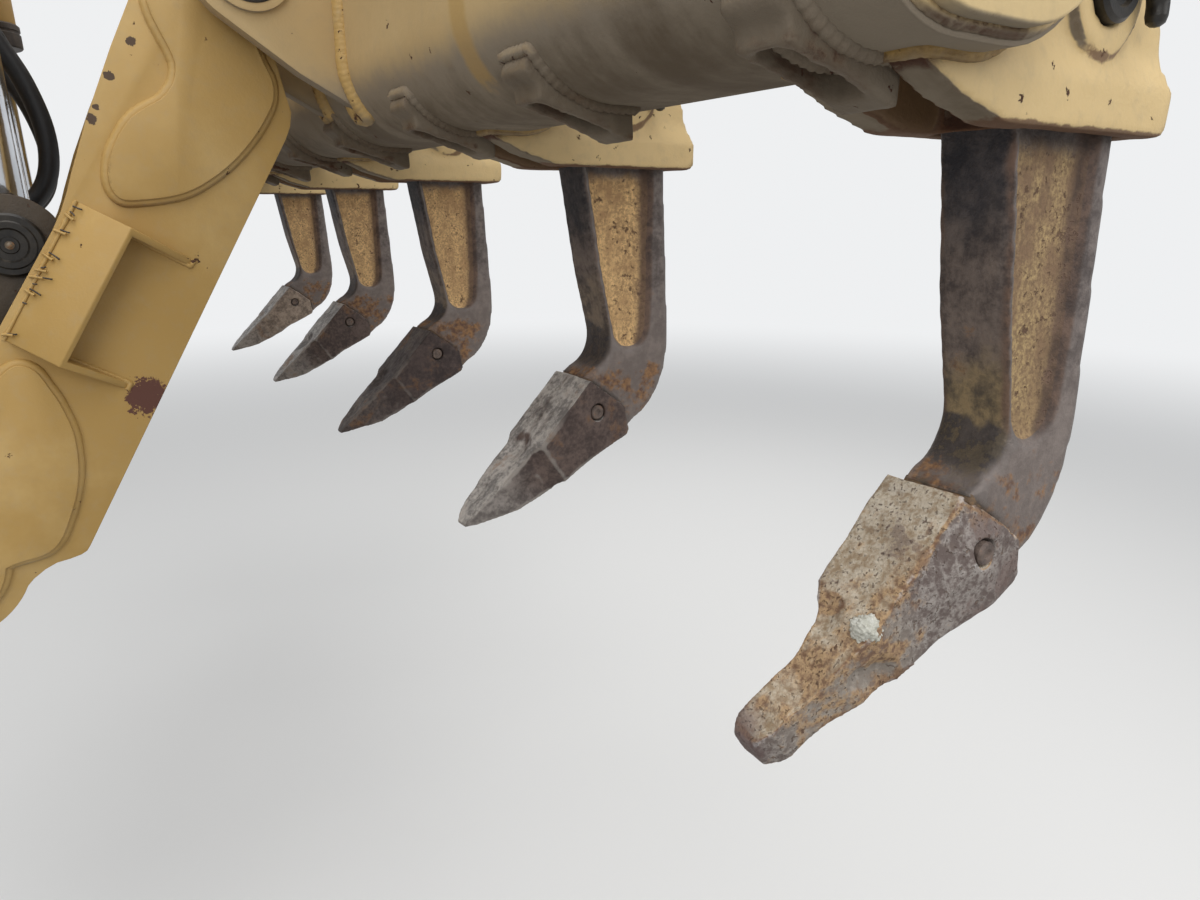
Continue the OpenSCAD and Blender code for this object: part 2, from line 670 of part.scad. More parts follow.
// Nine scarifier sockets, at half the spacing of the shanks, drawn from the
// beam's front and underside. The slot opens onto the beam.
module socket_outline() {
    polygon([[9, 26], [8, 18], [22, 10], [22, -1], [68, -13], [114, -29], [115, -17], [112, 0], [112, 74], [33, 74], [19, 40]]);
}
module at_sockets() {
    for (j = [0 : 2 * shank_n - 2]) translate([beam_x, shank_y(1 + j / 2), beam_z]) children();
}
module scarifier_sockets() {
    color(yellow) difference() {
        at_sockets() difference() {
            across(socket_w) socket_outline();
            across(slot_w) translate([30, -50]) square([64, 100]);
        }
        plate(-beam_l, 2 * beam_l) beam_section();
    }
}

// Hoses: each lies in a plane beside its cylinder, as points [x, z]. Each starts
// just off its elbow, square to it, and ends just off its port in the plate.
function on_tilt(x, z) = [cyl_top_x + x * cos(cyl_tilt) - z * sin(cyl_tilt),
    cyl_top_z + x * sin(cyl_tilt) + z * cos(cyl_tilt)];
lower_port_z = -230;
upper_port_z = 380;
hose_port_l = 36;
hose_end_x = plate_x + hose_port_l + fit;
lower_route = [on_tilt(0, -port_lower - port_l - fit), on_tilt(0, -port_lower - port_l - 20),
    [283, 40], [300, 0], [318, -40], [330, -90], [328, -135], [312, -168], [280, -192],
    [230, -208], [170, -220], [120, -228], [hose_end_x + 20, lower_port_z], [hose_end_x, lower_port_z]];
upper_route = [on_tilt(-port_l - fit, -port_upper), on_tilt(-port_l - 20, -port_upper), [180, 492],
    [152, 468], [130, 432], [112, 400], [hose_end_x + 20, upper_port_z], [hose_end_x, upper_port_z]];
hose_sides = 8;
function curve(p, i, t) = let (
    a = p[max(i - 1, 0)], b = p[i], c = p[i + 1], d = p[min(i + 2, len(p) - 1)])
    0.5 * (2 * b + (c - a) * t + (2 * a - 5 * b + 4 * c - d) * t * t + (3 * b - a - 3 * c + d) * t * t * t);
function route(p) = concat([for (i = [0 : len(p) - 2], t = [0, 0.5]) curve(p, i, t)], [p[len(p) - 1]]);
// One closed tube: a ring of points at each step of the route
module hose(side, points) {
    p = route(points);
    last = len(p) - 1;
    tail = len(points) - 1;
    rings = [for (i = [0 : last]) let (
        d = i == 0 ? points[1] - points[0] : i == last ? points[tail] - points[tail - 1] : p[i + 1] - p[i - 1],
        across = [-d[1], d[0]] / norm(d))
        for (j = [0 : hose_sides - 1]) let (a = 360 * j / hose_sides)
            [p[i][0] + hose_r * cos(a) * across[0], side * hose_y + hose_r * sin(a), p[i][1] + hose_r * cos(a) * across[1]]];
    walls = [for (i = [0 : last - 1], j = [0 : hose_sides - 1]) let (k = (j + 1) % hose_sides, n = hose_sides)
        [i * n + j, (i + 1) * n + j, (i + 1) * n + k, i * n + k]];
    ends = [[for (j = [0 : hose_sides - 1]) j], [for (j = [hose_sides - 1 : -1 : 0]) last * hose_sides + j]];
    color(dark) polyhedron(points = rings, faces = concat(walls, ends));
}
module hose_ports() {
    color(dark) for (side = sides, z = [lower_port_z, upper_port_z])
        translate([plate_x, side * hose_y, z]) rotate([0, 90, 0]) cylinder(r = port_r, h = hose_port_l);
}

mounting_plate();
side_frame(-1);  // side_frame_left
side_frame(1);  // side_frame_right
frame_tubes();
link_brackets();
arm_pivot_pins();
barrel_pins();
link_pivot_pins();
hose_ports();
hose(-1, lower_route);  // hose_left_lower
hose(-1, upper_route);  // hose_left_upper
hose(1, lower_route);  // hose_right_lower
hose(1, upper_route);  // hose_right_upper
lift_arm(-1);  // lift_arm_left
lift_arm(1);  // lift_arm_right
arm_doublers(-1);  // arm_doublers_left
arm_doublers(1);  // arm_doublers_right
hose_guards();
arm_tube();
rod_brackets();
rod_pin_caps();
upper_link(-1);  // upper_link_left
upper_link(1);  // upper_link_right
barrel(-1);  // barrel_left
barrel(1);  // barrel_right
gland(-1);  // gland_left
gland(1);  // gland_right
rod(-1);  // rod_left
rod(1);  // rod_right
rod_eye(-1);  // rod_eye_left
rod_eye(1);  // rod_eye_right
beam();
beam_caps();
lower_ears();
beam_pins();
upper_ears();
link_ear_pins();
scarifier_sockets();
for (k = [1 : shank_n]) {
    pocket(k);
    shank(k);
    tooth(k);
}
shank_pins();
tooth_pins();
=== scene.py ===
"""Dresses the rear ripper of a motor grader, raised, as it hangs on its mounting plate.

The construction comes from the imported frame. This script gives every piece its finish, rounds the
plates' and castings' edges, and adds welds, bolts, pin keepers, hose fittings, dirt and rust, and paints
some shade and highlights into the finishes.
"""
import json
import math
import random

import bmesh
import bpy
import numpy as np
from mathutils import Matrix, Vector, noise


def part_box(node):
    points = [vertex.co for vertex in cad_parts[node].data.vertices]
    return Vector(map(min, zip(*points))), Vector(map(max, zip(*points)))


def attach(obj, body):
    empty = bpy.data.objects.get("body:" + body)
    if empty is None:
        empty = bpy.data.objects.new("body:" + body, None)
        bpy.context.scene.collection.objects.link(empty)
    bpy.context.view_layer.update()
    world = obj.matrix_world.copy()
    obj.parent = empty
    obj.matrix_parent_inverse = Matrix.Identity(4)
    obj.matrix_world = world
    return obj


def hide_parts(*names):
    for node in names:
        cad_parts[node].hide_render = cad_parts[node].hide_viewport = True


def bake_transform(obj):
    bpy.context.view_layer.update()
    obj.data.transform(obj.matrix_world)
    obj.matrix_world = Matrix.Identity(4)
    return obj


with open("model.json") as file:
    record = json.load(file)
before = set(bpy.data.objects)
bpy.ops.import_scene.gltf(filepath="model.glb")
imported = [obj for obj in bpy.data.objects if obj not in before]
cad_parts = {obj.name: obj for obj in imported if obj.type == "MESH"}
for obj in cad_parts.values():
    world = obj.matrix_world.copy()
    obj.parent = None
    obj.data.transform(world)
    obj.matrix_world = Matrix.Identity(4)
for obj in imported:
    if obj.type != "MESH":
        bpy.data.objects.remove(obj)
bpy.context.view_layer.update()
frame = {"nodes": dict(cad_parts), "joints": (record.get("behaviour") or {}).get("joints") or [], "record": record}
RECORD = frame["record"]
BODY_OF = {node: body for body, nodes in RECORD["behaviour"]["bodies"].items() for node in nodes}
JOINTS = {joint["name"]: joint for joint in frame["joints"]}


def middle(node):
    low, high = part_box(node)
    return (Vector(low) + Vector(high)) / 2


ARM_TOP = Vector(JOINTS["beam_level"]["pos_m"])
ARM_FOOT = Vector(JOINTS["lift"]["pos_m"])
LINK_FOOT = Vector(JOINTS["upper_link_turn"]["pos_m"])
LINK_TOP = LINK_FOOT + ARM_TOP - ARM_FOOT
BARREL_PIN = Vector(JOINTS["cylinder_left_swing"]["pos_m"])
ROD_PIN = middle("rod_pin_caps")
ARM_ALONG = (ARM_FOOT - ARM_TOP).normalized()
ARM_ACROSS = Vector((-ARM_ALONG.z, 0, ARM_ALONG.x))  # towards the arm's rear edge
SIDES = {"left": -1, "right": 1}
BEAM_LOW, BEAM_HIGH = (Vector(corner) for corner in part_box("beam"))
BEAM_CORNER = 0.085  # radius of its rounded corners
ROWS = range(1, 6)  # pockets, shanks and teeth, from the left
NOSE = 1  # the leftmost tooth, the bluntest and rustiest
SHANK_PIN = Vector((0.903, 0, -0.052))
TOOTH_PIN = Vector((0.865, 0, -0.430))
TOOTH_ANGLE = math.radians(214.5)
TOOTH_WAY = Vector((math.cos(TOOTH_ANGLE), 0, math.sin(TOOTH_ANGLE)))  # towards a tooth's tip
TOOTH_RISE = Vector((math.sin(TOOTH_ANGLE), 0, -math.cos(TOOTH_ANGLE)))  # out of its top
ACROSS = Vector((0, 1, 0))


def flat_gap(point, pin):
    """Distance from a pin's axis, which runs across the machine."""
    return math.hypot(point.x - pin.x, point.z - pin.z)


def off_beam(point):
    """How far a point lies outside the beam's outline."""
    half = (BEAM_HIGH - BEAM_LOW) / 2
    centre = (BEAM_HIGH + BEAM_LOW) / 2
    dx = abs(point.x - centre.x) - half.x + BEAM_CORNER
    dz = abs(point.z - centre.z) - half.z + BEAM_CORNER
    return math.hypot(max(dx, 0), max(dz, 0)) + min(max(dx, dz), 0) - BEAM_CORNER


def on_arm(along, across, y):
    """A point from the beam's pin along the arm and across it."""
    point = ARM_TOP + ARM_ALONG * along + ARM_ACROSS * across
    return Vector((point.x, y, point.z))


def on_tooth(k, along, up, y=0.0):
    """A point along a tooth from its pin, up from its middle line, and across from its middle."""
    point = TOOTH_PIN + TOOTH_WAY * along + TOOTH_RISE * up
    return (point.x, middle(f"tooth_{k}").y + y, point.z)


# Camera, floor and light

CAMERA_PLACE = (0.3234, -1.4244, -0.1888)
CAMERA_YAW = 32.68  # from straight across the machine, towards the rear
CAMERA_PITCH = 16.09  # down
CAMERA_LENS = 24.6
SENSOR_WIDTH = 36
FLOOR_Z = -1.46  # just under the teeth at their lowest
FLOOR_HALF = 40
FLOOR_MIDDLE = 0.6
FLOOR_FADE = (2.5, 9.0)  # distances from the beam between which the floor turns into background
FLOOR_COLOUR = (0.78, 0.77, 0.75)
FLOOR_BOUNCE = (0.36, 0.35, 0.33)
SKY_COLOUR = (0.86, 0.87, 0.88)
WORLD_COLOUR = (0.93, 0.96, 1.0)
WORLD_STRENGTH = 0.5
# Lamps: name, place, aim, width and power
LAMPS = (
    ("sky_lamp", (0.2, -1.2, 3.4), (0.6, 0.0, 0.0), 3.6, 95),
    ("left_lamp", (-1.6, -3.2, 1.4), (0.5, -0.3, -0.1), 2.4, 44),
    ("rear_lamp", (3.4, 1.4, 1.8), (0.6, 0.2, 0.0), 2.2, 40),
    ("near_lamp", (1.5, -2.5, 0.6), (0.9, -1.1, -0.25), 1.2, 11),
)


def build_camera():
    data = bpy.data.cameras.new("camera")
    data.lens = CAMERA_LENS
    data.sensor_width = SENSOR_WIDTH
    data.clip_start = 0.02
    camera = bpy.data.objects.new("camera", data)
    camera.location = CAMERA_PLACE
    camera.rotation_euler = (math.radians(90 - CAMERA_PITCH), 0, math.radians(-CAMERA_YAW))
    bpy.context.scene.collection.objects.link(camera)
    bpy.context.scene.camera = camera


class Wire:
    """A socket or a number in a finish; Python's operators add Math nodes to it."""

    def __init__(self, finish, value):
        self.finish = finish
        self.value = value

    def math(self, operation, *others, clamp=False):
        values = (self,) + others
        return self.finish.add("Math", dict(enumerate(values)), operation=operation, use_clamp=clamp)

    def __add__(self, other):
        return self.math("ADD", other)

    def __radd__(self, other):
        return self.math("ADD", other)

    def __sub__(self, other):
        return self.math("SUBTRACT", other)

    def __rsub__(self, other):
        return self.finish.add("Math", {0: other, 1: self}, operation="SUBTRACT")

    def __mul__(self, other):
        return self.math("MULTIPLY", other)

    def __rmul__(self, other):
        return self.math("MULTIPLY", other)

    def __truediv__(self, other):
        return self.math("DIVIDE", other)

    def __neg__(self):
        return self.math("MULTIPLY", -1)

    def power(self, other):
        return self.math("POWER", other)

    def clamp(self):
        return self.math("ADD", 0, clamp=True)

    def absolute(self):
        return self.math("ABSOLUTE")

    def largest(self, other):
        return self.math("MAXIMUM", other)

    def rise(self, low, high):
        """0 below low, 1 above high, smooth between; high may be under low."""
        sockets = {"Value": self, "From Min": low, "From Max": high}
        return self.finish.add("MapRange", sockets, interpolation_type="SMOOTHSTEP")


class Finish:
    """One material: its node tree, and the one method that adds nodes to it."""

    def __init__(self, name):
        self.material = bpy.data.materials.new(name)
        self.material.use_nodes = True
        self.tree = self.material.node_tree
        self.shader = self.tree.nodes["Principled BSDF"]
        self.place = self.add("TexCoord", {}, output="Object")
        self.facing = self.add("TexCoord", {}, output="Normal")

    def join(self, socket, value):
        if isinstance(value, Wire):
            self.tree.links.new(value.value, socket)
        else:
            socket.default_value = value

    def add(self, kind, sockets, output=0, **settings):
        """Adds a node with its settings and sockets, and gives one of its outputs."""
        node = self.tree.nodes.new("ShaderNode" + kind)
        for name, value in settings.items():
            setattr(node, name, value)
        for name, value in sockets.items():
            self.join(node.inputs[name], value)
        return Wire(self, node.outputs[output])

    def axes(self, vector):
        return [self.add("SeparateXYZ", {0: vector}, output=i) for i in range(3)]

    def stretched(self, x, y, z):
        return self.add("Mapping", {"Vector": self.place, "Scale": (x, y, z)})

    def noise(self, scale, detail=3.0, rough=0.55, place=None):
        sockets = {"Vector": place or self.place, "Scale": scale, "Detail": detail, "Roughness": rough}
        return self.add("TexNoise", sockets)

    def cells(self, scale, output="Distance", place=None):
        sockets = {"Vector": place or self.place, "Scale": scale}
        return self.add("TexVoronoi", sockets, output=output)

    def mix(self, share, low, high):
        """A colour between low and high."""
        sockets = {0: share, 6: colour(low), 7: colour(high)}
        return self.add("Mix", sockets, output=2, data_type="RGBA")

    def distance(self, point):
        sockets = {0: self.place, 1: tuple(point)}
        return self.add("VectorMath", sockets, output="Value", operation="DISTANCE")

    def specks(self, scale, radius, share):
        """Ragged chips in a share of the cells; the radius is a part of a cell's width."""
        sockets = {"Vector": self.place, "Scale": scale * 2.6, "Detail": 4.0}
        drift = self.add("TexNoise", sockets, output="Color")
        reach = (1.5 / scale,) * 3
        place = self.add("VectorMath", {0: drift, 1: reach, 2: self.place}, operation="MULTIPLY_ADD")
        tone = self.cells(scale, "Color", place)
        chance = self.add("SeparateColor", {0: tone}, output=0)
        size = (self.add("SeparateColor", {0: tone}, output=1) * 0.8 + 0.3) * radius
        chip = (size - self.cells(scale, place=place)).rise(0.0, radius * 0.25)
        return chip * chance.rise(1 - share * 1.2, 1 - share * 0.8)

    def attribute(self, name):
        return self.add("Attribute", {}, output="Fac", attribute_name=name)

    def crevice(self, reach, inside=False):
        """1 in a corner, or at an outer edge where inside is set, and 0 on the flat."""
        settings = {"samples": 4, "inside": inside, "only_local": inside}
        return 1 - self.add("AmbientOcclusion", {"Distance": reach}, output="AO", **settings)

    def bump(self, height, depth):
        return self.add("Bump", {"Height": height, "Distance": depth})

    def set(self, **sockets):
        for name, value in sockets.items():
            self.join(self.shader.inputs[name.replace("_", " ")], value)
        return self.material


def colour(value):
    """Three linear numbers as a socket's colour; a wire stays as it is."""
    return value if isinstance(value, Wire) else (*value, 1)


def build_floor():
    """A pale floor that fades into the background far from the ripper."""
    mesh = bpy.data.meshes.new("floor")
    corners = [(FLOOR_HALF * x, FLOOR_HALF * y, FLOOR_Z) for x, y in ((-1, -1), (1, -1), (1, 1), (-1, 1))]
    mesh.from_pydata(corners, [], [(0, 1, 2, 3)])
    floor = bpy.data.objects.new("floor", mesh)
    bpy.context.scene.collection.objects.link(floor)
    finish = Finish("pale_floor")
    x, y, _ = finish.axes(finish.place)
    distance = ((x - FLOOR_MIDDLE).power(2) + y.power(2)).power(0.5)
    seen = finish.add("LightPath", {}, output="Is Camera Ray")
    glossy = finish.add("LightPath", {}, output="Is Glossy Ray")
    direct = seen.largest(glossy)
    finish.set(Base_Color=finish.mix(direct, FLOOR_BOUNCE, FLOOR_COLOUR), Roughness=0.95,
               Specular_IOR_Level=0.0)
    glow = finish.add("Emission", {"Color": colour(SKY_COLOUR), "Strength": 1.0})
    far = direct * distance.rise(*FLOOR_FADE)
    both = finish.add("MixShader", {0: far, 1: Wire(finish, finish.shader.outputs[0]), 2: glow})
    finish.join(finish.tree.nodes["Material Output"].inputs["Surface"], both)
    floor.data.materials.append(finish.material)


def build_lights():
    for name, place, aim, width, power in LAMPS:
        data = bpy.data.lights.new(name, "AREA")
        data.size = width
        data.energy = power
        lamp = bpy.data.objects.new(name, data)
        lamp.location = place
        lamp.rotation_euler = (Vector(aim) - Vector(place)).to_track_quat("-Z", "Y").to_euler()
        bpy.context.scene.collection.objects.link(lamp)
    world = bpy.data.worlds.new("studio")
    world.use_nodes = True
    tree = world.node_tree
    lit = tree.nodes["Background"]
    lit.inputs["Color"].default_value = (*WORLD_COLOUR, 1)
    lit.inputs["Strength"].default_value = WORLD_STRENGTH
    seen = tree.nodes.new("ShaderNodeBackground")
    seen.inputs["Color"].default_value = (*SKY_COLOUR, 1)
    path = tree.nodes.new("ShaderNodeLightPath")
    direct = tree.nodes.new("ShaderNodeMath")
    direct.operation = "MAXIMUM"
    tree.links.new(path.outputs["Is Camera Ray"], direct.inputs[0])
    tree.links.new(path.outputs["Is Transmission Ray"], direct.inputs[1])
    both = tree.nodes.new("ShaderNodeMixShader")
    tree.links.new(direct.outputs[0], both.inputs[0])
    tree.links.new(lit.outputs[0], both.inputs[1])
    tree.links.new(seen.outputs[0], both.inputs[2])
    tree.links.new(both.outputs[0], tree.nodes["World Output"].inputs["Surface"])
    bpy.context.scene.world = world
    bpy.context.scene.view_settings.view_transform = "Standard"


# Finishes. Colours are linear.

PAINT = (0.555, 0.365, 0.135)
PAINT_PALE = (0.640, 0.450, 0.195)
PAINT_DEEP = (0.460, 0.285, 0.085)
PAINT_DUSTY = (0.420, 0.330, 0.205)
RUST_DARK = (0.040, 0.018, 0.013)
RUST_BROWN = (0.110, 0.047, 0.024)
RUST_ORANGE = (0.330, 0.135, 0.035)
# Dark grime; paint() also lays it on as painted shade
GRIME = (0.090, 0.068, 0.049)
GRIME_DRY = (0.255, 0.215, 0.168)
OIL = (0.030, 0.021, 0.014)
PAINT_FADED = (0.760, 0.570, 0.290)
PAINT_FILM = (0.570, 0.470, 0.310)
MAROON = (0.085, 0.022, 0.024)
RUST_RUBBED = (0.180, 0.095, 0.050)
RUST_PITS = (0.150, 0.072, 0.036)
# Shanks. Two tones are a dark and a light one
SHANK_SIDE = (0.080, 0.062, 0.056), (0.215, 0.178, 0.160)
SHANK_SCOURED = (0.021, 0.019, 0.023), (0.078, 0.066, 0.066)
SHANK_BROWN = (0.062, 0.046, 0.042), (0.200, 0.155, 0.130)
SHANK_OCHRE = (0.095, 0.074, 0.052), (0.310, 0.225, 0.120)
SHANK_RUST = RUST_BROWN, (0.330, 0.165, 0.055)
# Painted shade, with rust, on the rear wall of a shank's recess
SHANK_WALL = (0.050, 0.031, 0.024), (0.150, 0.090, 0.062)
SHANK_LOW = (0.240, 0.195, 0.170)
SHANK_EDGE = (0.215, 0.192, 0.178)
RECESS_WORN = (0.235, 0.145, 0.080), (0.480, 0.335, 0.160)
# Old paint in the painted shanks' recesses: its own yellow, lightened further as painted light against the shade
# the recess lies in
RECESS_PAINTED = (0.450, 0.270, 0.125), (0.860, 0.570, 0.265)
# Teeth
TOOTH_PLAIN = (0.050, 0.032, 0.027), (0.138, 0.096, 0.080)
TOOTH_DARK = (0.030, 0.018, 0.016), (0.085, 0.058, 0.050)
# The farthest tooth's paler steel, lightened further as painted light where the lamps leave it in shade
TOOTH_PALE = (0.170, 0.125, 0.095), (0.430, 0.335, 0.260)
TOOTH_SCOURED = (0.150, 0.130, 0.118), (0.360, 0.325, 0.295)
# Bare steel on a tooth's top, brightened partly as a painted highlight
TOOTH_BARE_SHINE = (0.215, 0.198, 0.187), (0.560, 0.520, 0.480)
TOOTH_RUST = RUST_BROWN, (0.230, 0.118, 0.050)
TOOTH_EDGE = (0.36, 0.325, 0.29)
BLUNT_SIDE = (0.135, 0.102, 0.090), (0.350, 0.310, 0.282)
# A blunt tooth's top: worn pale steel, partly painted light from above
BLUNT_TOP = (0.330, 0.240, 0.150), (0.640, 0.565, 0.450)
BLUNT_RUST = (0.165, 0.080, 0.042), (0.470, 0.290, 0.135)
BLUNT_NECK = (0.400, 0.355, 0.295)
BLUNT_CRUST = (0.560, 0.540, 0.530)
BLUNT_PITS = (0.120, 0.066, 0.036)
BLUNT_BLOTS = (0.110, 0.058, 0.046)
BLUNT_TIP = (0.140, 0.092, 0.086)
# How deep each finish's relief is
PAINT_RELIEF = 0.0009
SHANK_RELIEF = 0.0014
TOOTH_RELIEF = 0.0016
BLUNT_RELIEF = 0.0018
METAL_RELIEF = 0.0005
# Heights between which a finish changes, from the first to the second
# Heights over which the dirt and painted shade on a foot's front fade out
FOOT_DIRT_AND_SHADE = (-0.045, -0.085)
SIDE_PALER = (-0.25, -0.36)
FRONT_BROWN = (-0.17, -0.24)
FRONT_OCHRE = (-0.255, -0.300)
FRONT_BURNT = (-0.335, -0.345)
NECK_RUST = (-0.35, -0.39)
RECESS_PAINT = (-0.128, -0.145)
RECESS_PALER = (-0.25, -0.37)
# Distances from the middle of the machine over which the beam's end gets paler, drier dirt, painted as the light
# it catches from the ground
BEAM_END_LIT = (1.00, 1.09)
# Distances from a tooth's pin over which its nose is scoured, and its edges are worn
NOSE_SCOURED = (0.095, 0.165)
EDGE_WORN = (0.040, 0.075)
# Places on the bluntest tooth, and how far the marks there reach
NECK_MARK = ((0.135, -0.004), (0.085, 0.040))
TIP_MARK = ((0.216, -0.010, 0.030), (0.034, 0.016))


def paint(name, grime=0.2, chips=0.35, specks=0.3, coarse=0.0, faded=0.0, film=0.0, corners=0.2,
          oily=0.0, front=0.0, low=None, high=None, stains=(), spots=(), smears=()):
    """Ochre paint with grime and painted shade, rust specks, and chipped, rusty edges.

    low and high are heights: the paint grows darker towards the bottom, fully at and under low, not at all over
    high.
    front is how much more dirt and painted shade darken faces that look forward and down; corners is how much
    painted shade darkens corners and the gaps between parts.
    stains and spots are (place, radius) of dark red paint and of rust.
    smears are (place across, half width, lowest height) of streaks rubbed clean of dirt.
    """
    finish = Finish(name)
    broad = finish.noise(1.7, 3)
    cloud = finish.noise(6.5, 5, 0.6)
    fine = finish.noise(75, 4, 0.6)
    grit = finish.noise(300, 3, 0.65)
    base = finish.mix(broad.rise(0.35, 0.65), PAINT_DEEP, PAINT)
    base = finish.mix(cloud.rise(0.42, 0.75) * 0.65, base, PAINT_PALE)
    base = finish.mix(faded, base, PAINT_FADED)
    base = finish.mix(film, base, PAINT_FILM)
    base = finish.mix(fine.rise(0.45, 0.85) * (0.25 + coarse * 0.4), base, PAINT_DUSTY)
    x, _, up = finish.axes(finish.facing)
    _, y, height = finish.axes(finish.place)
    runs = finish.noise(1.0, 4, 0.55, finish.stretched(3, 17, 3))
    # Painted shade: faces that look down are darkened, and so are corners, by ambient occlusion.
    under = (0.05 - up).rise(0.0, 0.9)
    corner = finish.crevice(0.07)
    # The darkening mask: real grime noise together with this painted shade.
    dirt_and_shade = under * 0.45 + corner * corners + cloud * 0.5 + runs * 0.3 + fine * 0.15 - 0.78 + grime * 0.6
    # Painted shade, with some dirt, on a foot's faces that look forward and down.
    if front:
        dirt_and_shade = dirt_and_shade + (-x * 0.7 - up * 0.5).rise(0.3, 0.65) * height.rise(*FOOT_DIRT_AND_SHADE) * front
    # How pale and dry the dirt is; at the beam's ends the paler tone is painted light reflected from the ground.
    dry_and_lit = fine * 0.25 + cloud * 0.5 + runs * 0.6
    if low is not None:
        dirt_and_shade = dirt_and_shade + height.rise(high, low) * 0.85
        dry_and_lit = dry_and_lit + height.rise(low, high) * 0.6 + y.absolute().rise(*BEAM_END_LIT) * 0.35 - 0.12
    dirt_and_shade = dirt_and_shade.rise(0.0, 0.7)
    soil = finish.mix(dry_and_lit.rise(0.45, 0.85), GRIME, GRIME_DRY)
    base = finish.mix(dirt_and_shade * (0.92 + oily * 0.06), base, finish.mix(oily, soil, OIL))
    for across, half, foot in smears:
        gap = (y - across + (cloud - 0.5) * 0.03).absolute()
        rubbed = gap.rise(half, half * 0.5) * (height + (fine - 0.5) * 0.02).rise(foot, foot + 0.012)
        base = finish.mix(rubbed * 0.6, base, PAINT_DEEP)
    edge = finish.crevice(0.009, inside=True)
    patch = finish.noise(38, 5, 0.68)
    chip = (edge * 1.5 + patch * 0.9 - 1.46 + chips * 0.4).rise(0.0, 0.08)
    halo = (edge * 1.3 + patch - 1.28 + chips * 0.35).rise(0.0, 0.35) * 0.4
    speck = finish.specks(40, 0.20, 0.022 * specks).largest(finish.specks(15, 0.10, 0.020 * specks))
    speck = speck.largest(finish.specks(120, 0.30, 0.05 * specks + coarse * 0.3))
    rusty = chip.largest(speck)
    rust = finish.mix(grit, RUST_DARK, RUST_BROWN)
    base = finish.mix(halo, base, RUST_ORANGE)
    base = finish.mix(rusty, base, rust)
    if front:
        worn = (finish.attribute("rust") + patch * 1.1 - 0.95).rise(0.0, 0.2)
        base = finish.mix(worn * 0.85, base, finish.mix(grit, RUST_BROWN, RUST_RUBBED))
    for marks, tone in ((stains, MAROON), (spots, RUST_DARK)):
        for place, radius in marks:
            ragged = finish.distance(place) / radius + (fine + grit * 0.7) * 1.3 - 1.1
            base = finish.mix(ragged.rise(1.0, 0.85) * 0.92, base, tone)
    relief = grit * (0.18 + coarse * 0.5) + fine * (0.3 + coarse) + cloud * 0.5
    relief = relief - rusty * 0.6 + dirt_and_shade * fine * 0.5
    rough = 0.46 + fine * 0.12 + rusty * 0.35 + dirt_and_shade * (0.35 - oily * 0.4)
    return finish.set(Base_Color=base, Roughness=rough.clamp(), Normal=finish.bump(relief, PAINT_RELIEF),
                      Specular_IOR_Level=0.4)


def forged_steel(name, recess_tones, dusty):
    """A shank: mottled brown, with old paint in its recesses.

    Its front is scoured near black at the top, and dusty ochre with rust lower down.
    """
    finish = Finish(name)
    streaks = finish.noise(1.0, 5, 0.6, finish.stretched(46, 46, 12))
    broad = finish.noise(13, 4, 0.6)
    medium = finish.noise(42, 6, 0.68)
    fine = finish.noise(150, 4, 0.65)
    grit = finish.noise(430, 3, 0.6)
    x, _, _ = finish.axes(finish.facing)
    _, _, height = finish.axes(finish.place)
    level = height + (broad - 0.5) * 0.16
    tone = medium * 0.55 + fine * 0.25 + streaks * 0.2
    side = finish.mix(tone.rise(0.40, 0.60), *SHANK_SIDE)
    side = finish.mix(height.rise(*SIDE_PALER) * 0.5, side, SHANK_LOW)
    scoured = finish.mix(tone.rise(0.40, 0.62), *SHANK_SCOURED)
    brown = finish.mix(tone.rise(0.38, 0.60), *SHANK_BROWN)
    ochre = finish.mix(tone.rise(0.40, 0.60), *SHANK_OCHRE)
    ahead = finish.mix(level.rise(*FRONT_BROWN), scoured, brown)
    ahead = finish.mix(level.rise(*FRONT_OCHRE) * dusty, ahead, ochre)
    burnt = level.rise(*FRONT_BURNT) * (medium * 0.7 + fine * 0.5).rise(0.50, 0.62)
    ahead = finish.mix(burnt * 0.9, ahead, scoured)
    base = finish.mix((-x).rise(0.35, 0.8), side, ahead)
    rust = (broad * 0.6 + medium * 0.8 - 0.86 + height.rise(*NECK_RUST) * 0.22).rise(0.0, 0.12)
    orange = finish.mix(fine.rise(0.35, 0.65), *SHANK_RUST)
    base = finish.mix(rust * 0.8, base, orange)
    wear = (finish.attribute("wear") * 1.2 + fine * 0.7 + medium * 0.4 - 0.85).rise(0.0, 0.4)
    base = finish.mix(wear * 0.4, base, SHANK_EDGE)
    dark, pale = recess_tones
    kept = (finish.attribute("recess") * 1.4 + medium * 0.5 - 0.75).rise(0.0, 0.25)
    kept = kept * (height + medium * 0.02).rise(*RECESS_PAINT)
    yellow = finish.mix((streaks * 0.4 + medium * 0.6).rise(0.40, 0.60), dark, pale)
    yellow = finish.mix(height.rise(*RECESS_PALER) * 0.4, yellow, pale)
    mottle = (finish.noise(260, 4, 0.7) * 0.7 + medium * 0.3).rise(0.44, 0.58)
    yellow = finish.mix(mottle * 0.75, yellow, tuple(Vector(dark) * 0.75))
    pitted = (fine * 0.9 + medium * 0.4 - 0.73).rise(0.0, 0.09)
    yellow = finish.mix(pitted * 0.85, yellow, finish.mix(grit, RUST_DARK, RUST_PITS))
    base = finish.mix(kept, base, yellow)
    # The recess's rear wall and the floor before it: painted shade, with rust
    wall = (finish.attribute("wall") * 1.3 + medium * 0.9 - 0.80).rise(0.0, 0.90)
    base = finish.mix(wall * 0.9, base, finish.mix(tone.rise(0.4, 0.6), *SHANK_WALL))
    metal = ((-x).rise(0.35, 0.8) * 0.3 + wear * 0.4) * (1 - kept) * (1 - rust)
    relief = grit * 0.35 + fine * 0.6 + medium * 0.9 - pitted * kept * 0.5
    rough = 0.66 + rust * 0.2 + kept * 0.08 - wear * 0.12
    return finish.set(Base_Color=base, Roughness=rough.clamp(), Metallic=metal.clamp(),
                      Normal=finish.bump(relief, SHANK_RELIEF), Specular_IOR_Level=0.45)


